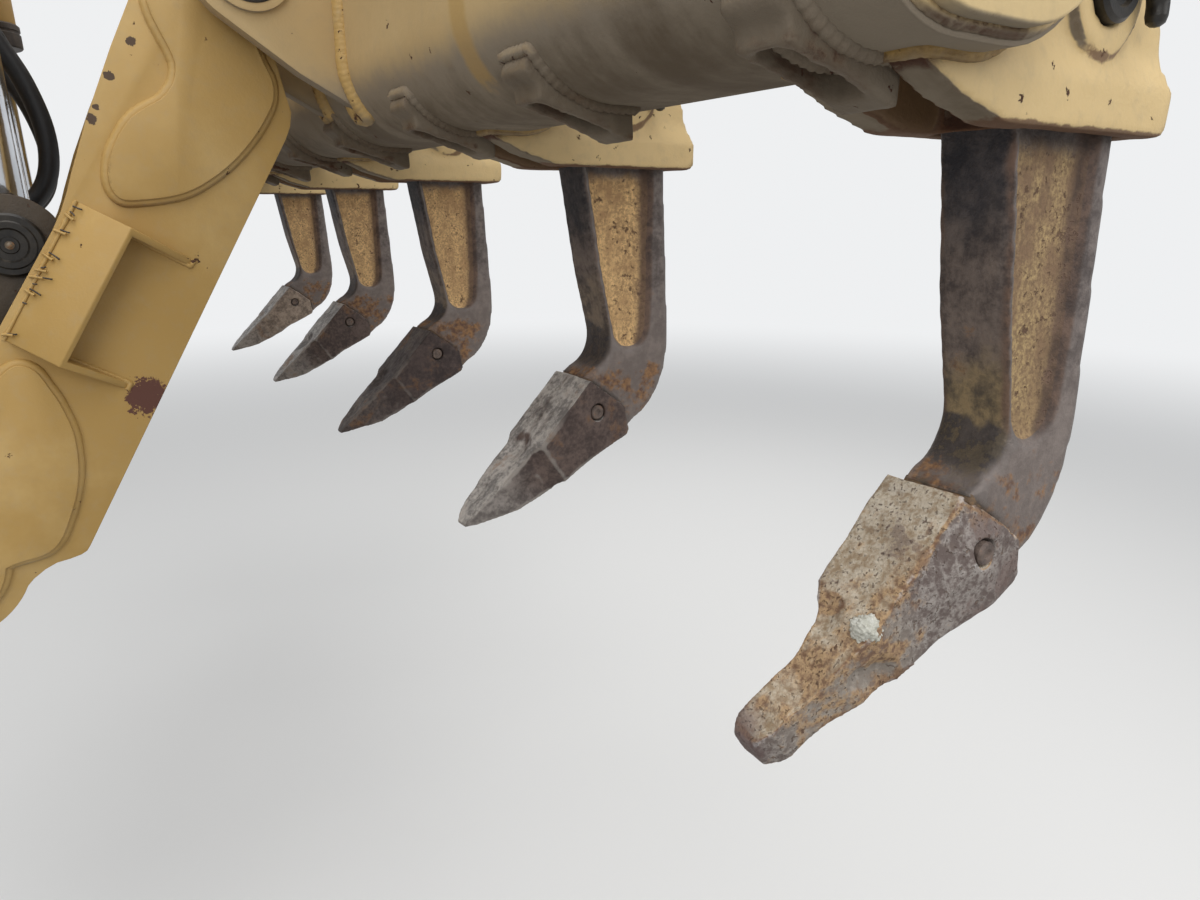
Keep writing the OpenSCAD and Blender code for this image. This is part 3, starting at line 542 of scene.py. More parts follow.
def worn_steel(name, bare_and_shine_share, tones):
    """A tooth: scoured grey on top, with a painted highlight there too, dark rusty brown on its sides, with pale
    worn edges.
    """
    finish = Finish(name)
    streaks = finish.noise(1.0, 5, 0.6, finish.stretched(16, 55, 24))
    broad = finish.noise(10, 5, 0.62)
    medium = finish.noise(38, 6, 0.68)
    fine = finish.noise(170, 4, 0.62)
    _, y, up = finish.axes(finish.facing)
    top = (up - y.absolute() * 0.4).rise(0.15, 0.6)
    tone = medium * 0.6 + fine * 0.4
    base = finish.mix(tone.rise(0.38, 0.62), *tones)
    x, _, height = finish.axes(finish.place)
    from_pin = ((x - TOOTH_PIN.x).power(2) + (height - TOOTH_PIN.z).power(2)).power(0.5)
    nose = (from_pin + (broad - 0.5) * 0.06).rise(*NOSE_SCOURED)
    scoured = finish.mix(tone.rise(0.40, 0.60), *TOOTH_SCOURED)
    base = finish.mix(nose * 0.8 * min(bare_and_shine_share, 1), base, scoured)
    # Upward faces: bare, scoured steel, and a painted highlight
    bare_shine = finish.mix(tone.rise(0.40, 0.60), *TOOTH_BARE_SHINE)
    shine = (top * 0.75 + streaks + broad * 0.4 + nose * 0.15 - 1.08).rise(0.0, 0.5) * bare_and_shine_share
    base = finish.mix(shine, base, bare_shine)
    wear = (finish.attribute("wear") * 1.2 + medium * 0.6 - 0.52).rise(0.0, 0.5)
    wear = wear * from_pin.rise(*EDGE_WORN)
    base = finish.mix(wear * (0.25 + 0.4 * min(bare_and_shine_share, 1)), base, TOOTH_EDGE)
    patches = (broad * 0.85 + medium * 0.75 - 0.88).rise(0.0, 0.16)
    orange = finish.mix((fine + medium * 0.4).rise(0.5, 0.85), *TOOTH_RUST)
    base = finish.mix(patches * 0.7, base, orange)
    metal = ((1 - patches) * (top * 0.3 + wear * 0.25)).clamp()
    relief = fine * 0.5 + medium * 0.9 + patches * 0.3
    rough = 0.66 + patches * 0.22 - top * 0.1
    return finish.set(Base_Color=base, Roughness=rough.clamp(), Metallic=metal,
                      Normal=finish.bump(relief, TOOTH_RELIEF), Specular_IOR_Level=0.45)


def blunt_steel(name):
    """The bluntest tooth: pale and pitted on top, where the paler tone is partly painted light from above, greyer
    on its side, with orange round its neck.
    """
    finish = Finish(name)
    broad = finish.noise(15, 4, 0.6)
    medium = finish.noise(48, 6, 0.68)
    fine = finish.noise(180, 4, 0.65)
    pits = finish.noise(330, 3, 0.6)
    _, y, up = finish.axes(finish.facing)
    top = (up + y * 0.2 + (broad - 0.5) * 0.9).rise(0.15, 0.75)
    tone = medium * 0.5 + fine * 0.5
    side = finish.mix(tone.rise(0.42, 0.58), *BLUNT_SIDE)
    place, reach = NECK_MARK
    neck = finish.distance(on_tooth(NOSE, *place)).rise(*reach)
    side = finish.mix(neck * 0.5, side, BLUNT_NECK)
    # Upward faces take the paler tone: worn steel, and partly painted light from above
    upper = finish.mix(tone.rise(0.38, 0.60), *BLUNT_TOP)
    base = finish.mix(top, side, upper)
    edge = finish.attribute("wear")
    ridge = 1 - (top * 2 - 1).absolute()
    patches = broad * 0.9 + medium * 0.7 + neck * 0.12 + edge * 0.12 + ridge * 0.22 - 0.87
    patches = patches.rise(0.0, 0.14)
    orange = finish.mix((fine * 0.7 + medium * 0.4).rise(0.45, 0.62), *BLUNT_RUST)
    base = finish.mix(patches * 0.8, base, orange)
    pale = (edge * 0.4 + finish.noise(30, 5, 0.65) * 1.1 + fine * 0.4 - 1.03).rise(0.0, 0.22)
    base = finish.mix(pale * 0.7, base, BLUNT_CRUST)
    pitted = (pits * 0.6 + fine * 0.5 - 0.62).rise(0.0, 0.06)
    base = finish.mix(pitted * 0.65, base, BLUNT_PITS)
    blot = (finish.noise(24, 5, 0.7) * 0.8 + fine * 0.3 - 0.60).rise(0.0, 0.05)
    base = finish.mix(blot * 0.6, base, BLUNT_BLOTS)
    place, reach = TIP_MARK
    dull = (finish.distance(on_tooth(NOSE, *place)) + (broad - 0.5) * 0.05).rise(*reach)
    base = finish.mix(dull * 0.75, base, BLUNT_TIP)
    relief = fine * 0.7 + medium * 0.8 - pitted * 0.6
    rough = 0.74 + patches * 0.15
    return finish.set(Base_Color=base, Roughness=rough.clamp(), Metallic=(top * 0.12).clamp(),
                      Normal=finish.bump(relief, BLUNT_RELIEF), Specular_IOR_Level=0.4)


def dull_metal(name, dark, light, rough, metallic, scale, dust, rust):
    """A pin, a nut, a rod, rubber, mud or packed dirt, each with its own blotches, dust and rust."""
    finish = Finish(name)
    blotch = finish.noise(scale, 5, 0.6)
    fine = finish.noise(scale * 5, 4, 0.6)
    base = finish.mix((blotch * 0.7 + fine * 0.3).rise(0.3, 0.7), dark, light)
    _, _, up = finish.axes(finish.facing)
    dusty = (up * 0.5 + blotch + finish.crevice(0.02) * 0.5 - 1.05 + dust).rise(0.0, 0.5) * min(dust * 2, 1)
    base = finish.mix(dusty, base, GRIME_DRY)
    rusty = (blotch + fine * 0.5 - 1.05 + rust).rise(0.0, 0.15) * min(rust * 3, 1)
    base = finish.mix(rusty, base, finish.mix(fine, RUST_BROWN, RUST_ORANGE))
    shade = rough + (blotch - 0.5) * 0.25 + dusty * 0.3 + rusty * 0.3
    metal = metallic * (1 - dusty) * (1 - rusty)
    return finish.set(Base_Color=base, Roughness=shade.clamp(), Metallic=metal.clamp(),
                      Normal=finish.bump(blotch + fine * 0.5, METAL_RELIEF))


# Spots of rust on the near arm: along it from the beam's pin, across it, and radius
ARM_SPOTS = (
    (0.126, -0.058, 0.0050),
    (0.170, -0.060, 0.0050),
    (0.219, -0.056, 0.0055),
    (0.205, -0.058, 0.0035),
    (0.262, -0.020, 0.0060),
    (0.120, -0.005, 0.0045),
)
ARM_STAIN = (0.471, 0.1125, 0.023)  # the dark red patch, in the same way
ARM_FACE = -0.345
BEAM_SMEAR = (-0.722, 0.020, -0.088)  # its place across, half its width, its lowest height
# Paints: name of the material, and what sets it apart from plain paint
# corners and front give each paint its painted shade in corners, and its painted shade with dirt on faces that
# look forward and down
PAINTS = {
    "paint_clean": ("ochre_paint_clean", {"grime": 0.1, "chips": 0.5, "specks": 0.2}),
    "paint_sheet": ("ochre_paint_sheet", {"grime": 0.0, "chips": -2.4, "specks": 0.3}),
    "paint_cap": ("ochre_paint_cap", {"grime": 0.0, "chips": 0.6, "specks": 0.3, "faded": 1.0,
                                      "low": -0.104, "high": -0.086}),
    "paint_weld": ("ochre_paint_on_welds", {"grime": 0.15, "chips": -1.3, "specks": 0.4, "coarse": 0.12}),
    "paint_bead": ("ochre_paint_on_rough_welds", {"grime": 0.35, "chips": 0.0, "specks": 0.8, "coarse": 0.8}),
    "paint_dirty": ("ochre_paint_dirty", {"grime": 1.6, "chips": 0.5, "specks": 0.5, "coarse": 0.2,
                                          "corners": 0.6, "oily": 0.92}),
    "paint_beam": ("ochre_paint_beam", {"grime": 0.27, "chips": 0.3, "specks": 0.3, "film": 0.4,
                                        "corners": 0.5, "low": -0.112, "high": 0.0,
                                        "smears": (BEAM_SMEAR,)}),
    "paint_socket": ("ochre_paint_socket", {"grime": 1.45, "chips": 0.5, "specks": 0.6, "coarse": 0.3,
                                            "corners": 0.6, "oily": 0.3}),
    "paint_cast": ("ochre_paint_cast", {"grime": 0.2, "chips": 1.1, "specks": 1.9, "coarse": 0.2,
                                        "faded": 0.8, "corners": 0.35, "front": 1.0}),
    "paint_foot": ("ochre_paint_cast_clean", {"grime": 0.14, "chips": 0.9, "specks": 0.35, "coarse": 0.2,
                                              "faded": 0.75, "corners": 0.35, "front": 1.0}),
}
# Columns: name of the material, dark and light tones, roughness, metallic, scale, dust, rust
METALS = {
    "pin": ("pin_steel", (0.030, 0.026, 0.024), (0.090, 0.072, 0.060), 0.55, 0.5, 60, 0.3, 0.12),
    "tooth_pin": ("tooth_pin_steel", (0.070, 0.050, 0.042), (0.210, 0.155, 0.125), 0.6, 0.2, 90, 0.0, 0.2),
    "oiled": ("oiled_steel", (0.008, 0.007, 0.006), (0.030, 0.025, 0.019), 0.36, 0.2, 60, 0.2, 0.0),
    "bolt": ("bolt_steel", (0.110, 0.085, 0.060), (0.240, 0.190, 0.130), 0.5, 0.5, 60, 0.3, 0.35),
    "chrome": ("rod_chrome", (0.60, 0.62, 0.65), (0.75, 0.77, 0.80), 0.14, 1.0, 9, 0.12, 0.0),
    "rubber": ("hose_rubber", (0.008, 0.008, 0.009), (0.017, 0.017, 0.018), 0.5, 0.0, 80, 0.28, 0.0),
    "mud": ("dried_mud", (0.42, 0.41, 0.34), (0.72, 0.71, 0.64), 0.9, 0.0, 150, 0.0, 0.0),
    "packed_dirt": ("packed_dirt", (0.070, 0.050, 0.036), (0.240, 0.150, 0.080), 0.9, 0.0, 120, 0.0, 0.2),
}


def build_finishes():
    stain, *spots = [
        (tuple(on_arm(along, across, ARM_FACE)), radius)
        for along, across, radius in (ARM_STAIN, *ARM_SPOTS)
    ]
    made = {"paint": paint("ochre_paint", stains=[stain], spots=spots)}
    for key, (name, settings) in PAINTS.items():
        made[key] = paint(name, **settings)
    for key, columns in METALS.items():
        made[key] = dull_metal(*columns)
    made["steel"] = forged_steel("shank_steel", RECESS_WORN, 1.0)
    made["steel_painted"] = forged_steel("shank_steel_painted", RECESS_PAINTED, 0.3)
    made["tooth"] = worn_steel("tooth_steel", 1.2, TOOTH_PLAIN)
    made["tooth_dark"] = worn_steel("tooth_steel_dark", 0.2, TOOTH_DARK)
    # The farthest tooth: paler steel, partly painted light
    made["tooth_pale"] = worn_steel("tooth_steel_pale", 1.0, TOOTH_PALE)
    made["tooth_nose"] = blunt_steel("tooth_steel_blunt")
    return made


# Shapes

SAME_POINT = 2e-5
SAME_PLANE = math.radians(1.0)
BEVEL_FROM = math.radians(35)
SHARP_FROM = math.radians(25)
PLATE_CREASE = 40  # degrees from which an edge stays sharp in the shading
TURNED_CREASE = 30
SMALL_CREASE = 35
WEAR_GAIN = 9


def link_piece(name, mesh, body, finish, nodes=()):
    """A finished piece in the scene; it rides on its body and stands for the nodes that it replaces."""
    piece = bpy.data.objects.new(name, mesh)
    bpy.context.scene.collection.objects.link(piece)
    mesh.materials.clear()
    mesh.materials.append(finishes[finish])
    if body:
        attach(piece, body)
    if nodes:
        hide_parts(*nodes)
    return piece


def welded_copy(node):
    """The node's mesh with its loose triangles joined and its flat faces made whole."""
    shape = bmesh.new()
    shape.from_mesh(frame["nodes"][node].data)
    bmesh.ops.remove_doubles(shape, verts=shape.verts, dist=SAME_POINT)
    bmesh.ops.dissolve_limit(shape, angle_limit=SAME_PLANE, verts=shape.verts, edges=shape.edges)
    return shape


def as_mesh(name, shape):
    mesh = bpy.data.meshes.new(name)
    shape.to_mesh(mesh)
    shape.free()
    return mesh


def joined(name, shapes):
    """Several shapes as one mesh."""
    total = bmesh.new()
    for shape in shapes:
        total.from_mesh(as_mesh("part", shape))
    return as_mesh(name, total)


def with_modifiers(name, mesh, modifiers):
    """The mesh with modifiers applied: each is a type and its settings, or a tree and its inputs."""
    holder = bpy.data.objects.new(name + "_draft", mesh)
    bpy.context.scene.collection.objects.link(holder)
    for kind, settings in modifiers:
        if isinstance(kind, Tree):
            modifier = holder.modifiers.new("tree", "NODES")
            modifier.node_group = kind.group
            for title, value in settings.items():
                modifier[kind.identifiers[title]] = value
        else:
            modifier = holder.modifiers.new(kind.lower(), kind)
            for key, value in settings.items():
                setattr(modifier, key, value)
    depsgraph = bpy.context.evaluated_depsgraph_get()
    result = bpy.data.meshes.new_from_object(holder.evaluated_get(depsgraph))
    bpy.data.objects.remove(holder)
    result.name = name
    return result


def turned_piece(name, shapes, body, finish, nodes=()):
    """Turned shapes as one finished piece."""
    return link_piece(name, smooth_shaded(joined(name, shapes), TURNED_CREASE), body, finish, nodes)


def smooth_shaded(mesh, sharp=PLATE_CREASE):
    mesh.shade_smooth()
    mesh.set_sharp_from_angle(angle=math.radians(sharp))
    return mesh


def rounded(name, mesh, width=0.002):
    """A plate or turned piece with its edges rounded."""
    bevel = {"width": width, "segments": 2, "limit_method": "ANGLE", "angle_limit": BEVEL_FROM}
    return smooth_shaded(with_modifiers(name, mesh, [("BEVEL", bevel)]))


def points_of(mesh):
    values = np.empty(len(mesh.vertices) * 3, dtype=np.float32)
    mesh.vertices.foreach_get("co", values)
    return values.reshape(-1, 3).astype(float)


def normals_of(mesh):
    values = np.empty(len(mesh.vertices) * 3, dtype=np.float32)
    mesh.vertex_normals.foreach_get("vector", values)
    return values.reshape(-1, 3).astype(float)


def set_points(mesh, values):
    mesh.vertices.foreach_set("co", values.astype(np.float32).ravel())
    mesh.update()


def neighbour_mean(mesh, values):
    """The mean of each vertex's neighbours."""
    ends = np.empty(len(mesh.edges) * 2, dtype=np.int32)
    mesh.edges.foreach_get("vertices", ends)
    here, there = ends.reshape(-1, 2).T
    flat = values.reshape(len(values), -1)
    count = np.bincount(here, minlength=len(flat)) + np.bincount(there, minlength=len(flat))
    total = [
        np.bincount(here, column[there], len(flat)) + np.bincount(there, column[here], len(flat))
        for column in flat.T
    ]
    return (np.array(total).T / np.maximum(count, 1)[:, None]).reshape(values.shape)


def unit(values):
    """The values kept between 0 and 1."""
    return np.clip(values, 0, 1)


def softened(mesh, values, times):
    """The values, spread over their neighbours as often as times says."""
    for _ in range(times):
        values = (values + neighbour_mean(mesh, values)) / 2
    return values


def mark(mesh, name, values):
    layer = mesh.attributes.new(name, "FLOAT", "POINT")
    layer.data.foreach_set("value", unit(values).astype(np.float32))


def mark_wear(mesh, grain):
    """Marks outer edges as wear: 1 on the edge, fading off it."""
    place = points_of(mesh)
    normal = softened(mesh, normals_of(mesh), 2)
    bend = ((place - neighbour_mean(mesh, place)) * normal).sum(axis=1) / grain
    mark(mesh, "wear", softened(mesh, bend, 3) * WEAR_GAIN)


def lumpy(mesh, lumps, seed):
    """Moves the surface, mostly inwards; lumps are (size of a lump, height)."""
    place = points_of(mesh)
    normal = normals_of(mesh)
    shift = Vector((seed * 3.1, seed * 1.7, seed * 2.3))
    offset = np.zeros(len(place))
    for size, height in lumps:
        waves = np.array([noise.noise(Vector(spot) / size + shift) for spot in place])
        offset += height * (waves - 0.4)
    set_points(mesh, place + normal * offset[:, None])


def dented(mesh, dents):
    """Pushes round hollows in: each is (centre, radius, push), and push is a vector."""
    place = points_of(mesh)
    for centre, radius, push in dents:
        gap = np.linalg.norm(place - np.array(centre), axis=1) / radius
        place += (unit(1 - gap * gap) ** 2)[:, None] * np.array(push)
    set_points(mesh, place)


def cast(node, grain, soften, lumps, seed, dents, worn):
    """A casting or forging: soft edges, slight lumps, dents, and its edges marked for wear.

    grain is the size of the mesh's cells, and worn wears the mesh down before it is dented.
    """
    voxels = {"mode": "VOXEL", "voxel_size": grain}
    modifiers = [("REMESH", voxels), ("SMOOTH", {"factor": 0.5, "iterations": soften})]
    mesh = with_modifiers(node + "_cast", as_mesh(node, welded_copy(node)), modifiers)
    if worn:
        worn(mesh)
    dented(mesh, dents)
    lumpy(mesh, lumps, seed)
    mark_wear(mesh, grain)
    mesh.shade_smooth()
    return mesh


def turns(steps):
    """The points of a circle with a radius of 1."""
    angles = [2 * math.pi * i / steps for i in range(steps)]
    return [(math.cos(angle), math.sin(angle)) for angle in angles]


def turned(profile, start, direction, steps=40, closed=False):
    """A shape turned round an axis. Its profile is (distance along, radius), closed for a ring."""
    shape = bmesh.new()
    turn = Vector(direction).to_track_quat("Z", "Y").to_matrix()
    rings = []
    for along, radius in profile:
        circle = [(radius * x, radius * y, along) for x, y in turns(steps if radius else 1)]
        rings.append([shape.verts.new(Vector(start) + turn @ Vector(spot)) for spot in circle])
    pairs = list(zip(rings, rings[1:]))
    if closed:
        pairs.append((rings[-1], rings[0]))
    for low, high in pairs:
        for i in range(steps):
            j = (i + 1) % steps
            corners = (low[i % len(low)], low[j % len(low)], high[j % len(high)], high[i % len(high)])
            shape.faces.new(dict.fromkeys(corners))
    bmesh.ops.recalc_face_normals(shape, faces=shape.faces)
    return shape


def hexagon(across_flats, height, start, direction, chamfer=0.0012):
    """A hexagonal head or nut with its corners taken off."""
    radius = across_flats / math.sqrt(3)
    profile = [(0, 0), (0, radius), (height - chamfer, radius), (height, radius - 2 * chamfer), (height, 0)]
    return turned(profile, start, direction, steps=6)


def slab(size, place, along=(1, 0, 0), up=(0, 0, 1)):
    """A block with its middle at place; its length follows along and its height follows up."""
    shape = bmesh.new()
    x = Vector(along).normalized()
    z = Vector(up).normalized()
    turn = Matrix((x, z.cross(x), z)).transposed()
    bmesh.ops.create_cube(shape, size=1.0)
    for vert in shape.verts:
        vert.co = Vector(place) + turn @ Vector(c * s for c, s in zip(vert.co, size))
    return shape


class Tree:
    """A geometry tree with named inputs."""

    def __init__(self, name, inputs):
        self.group = bpy.data.node_groups.new(name, "GeometryNodeTree")
        face = self.group.interface
        face.new_socket("Geometry", in_out="INPUT", socket_type="NodeSocketGeometry")
        face.new_socket("Geometry", in_out="OUTPUT", socket_type="NodeSocketGeometry")
        self.identifiers = {}
        for title, kind in inputs.items():
            socket = face.new_socket(title, in_out="INPUT", socket_type="NodeSocket" + kind)
            self.identifiers[title] = socket.identifier
        self.source = self.group.nodes.new("NodeGroupInput")

    def given(self, title):
        return self.source.outputs[title]

    def add(self, kind, sockets, output=0, **settings):
        node = self.group.nodes.new(kind)
        for name, value in settings.items():
            setattr(node, name, value)
        for name, value in sockets.items():
            if isinstance(value, bpy.types.NodeSocket):
                self.group.links.new(value, node.inputs[name])
            else:
                node.inputs[name].default_value = value
        return node.outputs[output]

    def math(self, operation, a, b=0.0):
        return self.add("ShaderNodeMath", {0: a, 1: b}, operation=operation)

    def close(self, geometry):
        """Ends the tree: instances made real, shaded smooth, and given their material."""
        real = self.add("GeometryNodeRealizeInstances", {"Geometry": geometry})
        smooth = self.add("GeometryNodeSetShadeSmooth", {"Geometry": real})
        sockets = {"Geometry": smooth, "Material": self.given("Material")}
        dressed = self.add("GeometryNodeSetMaterial", sockets)
        end = self.group.nodes.new("NodeGroupOutput")
        self.group.links.new(dressed, end.inputs["Geometry"])
        return self


def weld_tree():
    """A rippled, uneven bead along each line of the mesh."""
    sizes = {"Radius": "Float", "Ripple": "Float", "Height": "Float", "Unevenness": "Float"}
    tree = Tree("weld_bead", {**sizes, "Material": "Material"})
    curve = tree.add("GeometryNodeMeshToCurve", {"Mesh": tree.given("Geometry")})
    step = tree.math("DIVIDE", tree.given("Ripple"), 3.0)
    even = tree.add("GeometryNodeResampleCurve", {"Curve": curve, "Length": step}, mode="LENGTH")
    run = tree.add("GeometryNodeSplineParameter", {}, output="Length")
    turn = tree.math("MULTIPLY", tree.math("DIVIDE", run, tree.given("Ripple")), 2 * math.pi)
    wave = tree.math("MULTIPLY", tree.math("SINE", turn), tree.given("Height"))
    uneven = tree.add("ShaderNodeTexNoise", {"Scale": 45.0, "Detail": 2.0}, output="Fac")
    spread = tree.math("MULTIPLY", tree.math("SUBTRACT", uneven, 0.5), tree.given("Unevenness"))
    share = tree.math("ADD", tree.math("ADD", wave, spread), 1.0)
    ring = tree.add("GeometryNodeCurvePrimitiveCircle", {"Resolution": 7, "Radius": 1.0}, mode="RADIUS")
    size = tree.math("MULTIPLY", share, tree.given("Radius"))
    sockets = {"Curve": even, "Profile Curve": ring, "Scale": size, "Fill Caps": True}
    return tree.close(tree.add("GeometryNodeCurveToMesh", sockets))


def scatter_tree():
    """One piece at each point, with its Z along the point's own direction."""
    tree = Tree("scatter", {"Piece": "Object", "Material": "Material"})
    piece = tree.add("GeometryNodeObjectInfo", {"Object": tree.given("Piece")}, output="Geometry")
    way = tree.add("GeometryNodeInputNamedAttribute", {"Name": "way"}, data_type="FLOAT_VECTOR")
    turn = tree.add("FunctionNodeAlignRotationToVector", {"Vector": way}, axis="Z")
    sockets = {"Points": tree.given("Geometry"), "Instance": piece, "Rotation": turn}
    return tree.close(tree.add("GeometryNodeInstanceOnPoints", sockets))


def edge_lines(node, keep):
    """The node's sharp edges whose ends both pass keep(point), as lines of points."""
    shape = welded_copy(node)
    beside = {}
    for edge in shape.edges:
        if len(edge.link_faces) != 2 or edge.calc_face_angle(0) < SHARP_FROM:
            continue
        if all(keep(vert.co) for vert in edge.verts):
            a, b = (vert.index for vert in edge.verts)
            beside.setdefault(a, set()).add(b)
            beside.setdefault(b, set()).add(a)
    places = [vert.co.copy() for vert in shape.verts]
    shape.free()
    lines = []
    for start in sorted(beside, key=lambda index: (len(beside[index]) != 1, index)):
        while beside[start]:
            line = [start]
            while beside[line[-1]]:
                here = line[-1]
                there = min(beside[here])
                beside[here].discard(there)
                beside[there].discard(here)
                line.append(there)
            lines.append([places[index] for index in line])
    return lines


def line_mesh(lines):
    """The lines as edges; one that ends where it starts is closed."""
    verts, edges = [], []
    for line in lines:
        first = len(verts)
        closed = len(line) > 3 and (line[0] - line[-1]).length < 1e-6
        spots = line[:-1] if closed else line
        verts += spots
        edges += [(first + i, first + i + 1) for i in range(len(spots) - 1)]
        if closed:
            edges.append((first + len(spots) - 1, first))
    mesh = bpy.data.meshes.new("lines")
    mesh.from_pydata(verts, edges, [])
    return mesh


def ring_line(centre, direction, radius, steps=36):
    """A circle round an axis, as a closed line."""
    turn = Vector(direction).to_track_quat("Z", "Y").to_matrix()
    line = [Vector(centre) + turn @ Vector((radius * x, radius * y, 0)) for x, y in turns(steps)]
    return line + [line[0].copy()]


def weld(name, lines, body, radius=0.005, finish="paint_weld", ripple=0.007, height=0.12, uneven=0.5):
    """A bead along the lines: its radius, the length and height of its ripples, and its unevenness."""
    sizes = {"Radius": radius, "Ripple": ripple, "Height": height, "Unevenness": uneven}
    settings = {**sizes, "Material": finishes[finish]}
    mesh = with_modifiers(name, line_mesh(lines), [(trees["weld"], settings)])
    return link_piece(name, mesh, body, finish)


def scattered(name, piece_mesh, spots, body, finish):
    """Copies of one small piece at (place, direction) spots."""
    mesh = bpy.data.meshes.new("spots")
    mesh.from_pydata([place for place, _ in spots], [], [])
    way = mesh.attributes.new("way", "FLOAT_VECTOR", "POINT")
    way.data.foreach_set("vector", [value for _, direction in spots for value in direction])
    model = bpy.data.objects.new(name + "_model", piece_mesh)
    settings = {"Piece": model, "Material": finishes[finish]}
    result = smooth_shaded(with_modifiers(name, mesh, [(trees["scatter"], settings)]), SMALL_CREASE)
    bpy.data.objects.remove(model)
    return link_piece(name, result, body, finish)


# Castings and plates

# Columns: start of the nodes' names, grain of the mesh, smoothing steps, finish, lumps as (size, height)
CASTINGS = (
    ("shank_", 0.0038, 6, "steel_painted", ((0.05, 0.0006), (0.010, 0.0002))),
    ("tooth_", 0.0024, 2, "tooth", ((0.035, 0.0012), (0.009, 0.0005))),
    ("pocket_", 0.0040, 4, "paint_cast", ((0.06, 0.0010), (0.014, 0.0004))),
    ("scarifier_sockets", 0.0037, 4, "paint_socket", ((0.04, 0.0010), (0.012, 0.0006))),
)
# Plates and turned parts: their finish, and the radius of their edges
PLATES = {
    "mounting_plate": ("paint", 0.0020),
    "side_frame_left": ("paint", 0.0020),
    "side_frame_right": ("paint", 0.0020),
    "frame_tubes": ("paint", 0.0010),
    "link_brackets": ("paint", 0.0020),
    "lift_arm_left": ("paint", 0.0022),
    "lift_arm_right": ("paint", 0.0022),
    "arm_doublers_left": ("paint_clean", 0.0014),
    "arm_doublers_right": ("paint_clean", 0.0014),
    "hose_guards": ("paint_sheet", 0.0012),
    "arm_tube": ("paint_dirty", 0.0010),
    "rod_brackets": ("paint_dirty", 0.0020),
    "upper_link_left": ("paint", 0.0040),
    "upper_link_right": ("paint", 0.0040),
    "barrel_left": ("paint", 0.0015),
    "barrel_right": ("paint", 0.0015),
    "rod_left": ("chrome", 0.0010),
    "rod_right": ("chrome", 0.0010),
    "rod_eye_left": ("pin", 0.0020),
    "rod_eye_right": ("pin", 0.0020),
    "beam": ("paint_beam", 0.0010),
    "beam_caps": ("paint_cap", 0.0025),
    "lower_ears": ("paint_beam", 0.0025),
    "upper_ears": ("paint_beam", 0.0025),
    "hose_ports": ("bolt", 0.0010),
}
# Castings whose finish isn't the one of their row
ODD_PIECES = {
    "tooth_1": "tooth_nose",
    "tooth_3": "tooth_dark",
    "tooth_5": "tooth_pale",
    "shank_1": "steel",
    "pocket_1": "paint_foot",
}


def tooth_dents(k):
    """Wear on each tooth: hollows scoured in its top and its sides."""
    down = -TOOTH_RISE * 0.006
    if k == NOSE:
        return (
            (on_tooth(k, 0.130, -0.012, -0.018), 0.012, (0.002, 0.006, 0.002)),
            (on_tooth(k, 0.118, -0.024, -0.022), 0.022, (0.0, 0.007, 0.002)),
            (on_tooth(k, 0.160, 0.006, 0.004), 0.030, -TOOTH_RISE * 0.005),
            (on_tooth(k, 0.195, -0.002, 0.014), 0.018, -TOOTH_RISE * 0.004),
            (on_tooth(k, 0.108, 0.016, 0.022), 0.020, down),
        )
    return (
        (on_tooth(k, 0.100, 0.016, 0.006), 0.030, down),
        (on_tooth(k, 0.128, -0.018, -0.040), 0.022, (0.0, 0.008, 0.0)),
        (on_tooth(k, 0.170, 0.002, 0.004), 0.026, down * 0.7),
        (on_tooth(k, 0.128, -0.018, 0.040), 0.022, (0.0, -0.008, 0.0)),
    )


# Rows of points along a tooth from its pin. As made: half its width, and the height of its top
TOOTH_HALF = (
    (-0.07, 0.086, 0.098, 0.192, 0.206),
    (0.045, 0.045, 0.034, 0.024, 0.024),
)
TOOTH_TOP = (
    (-0.015, 0.094, 0.198, 0.216),
    (0.0417, 0.0185, 0.0, -0.005),
)
# As worn, on the bluntest tooth: how far its near side and its far side reach from the middle
WORN_NEAR = (
    (0.010, 0.045, 0.064, 0.100, 0.133, 0.155, 0.195),
    (0.043, 0.034, 0.029, 0.0255, 0.018, 0.011, 0.001),
)
WORN_FAR = (
    (0.050, 0.086, 0.104, 0.116, 0.139, 0.186, 0.210),
    (0.045, 0.043, 0.032, 0.027, 0.023, 0.033, 0.040),
)
WORN_TOP = 0.0245  # reach of its near side at the top
WORN_SLOPE = 0.035  # depth over which that side widens
WORN_LONGER = 0.012
WORN_END = (0.12, 0.086)  # where it starts to be longer, and the run over which it does
SHARP_FROM_PIN = 0.150
SHARP_RUN = 0.066
SHARP_LOW = 0.002
SHARP_CURVE = 1.4
SHARP_SHARE = 0.5
SHARP_SIDES = 0.7


def along_tooth(place):
    """Each point's distance from the pin along its tooth, and its height over the middle line."""
    offset = place - np.array(TOOTH_PIN)
    return offset @ np.array(TOOTH_WAY), offset @ np.array(TOOTH_RISE)


def worn_sharp(mesh):
    """Thins a tooth to a sharp tip."""
    place = points_of(mesh)
    along, up = along_tooth(place)
    thin = unit((along - SHARP_FROM_PIN) / SHARP_RUN) ** SHARP_CURVE * SHARP_SHARE
    centre = (place[:, 1].min() + place[:, 1].max()) / 2
    place[:, 1] -= (place[:, 1] - centre) * thin * SHARP_SIDES
    drop = (np.interp(along, *TOOTH_TOP) - SHARP_LOW - up) * thin
    place += drop[:, None] * np.array(TOOTH_RISE)
    set_points(mesh, place)


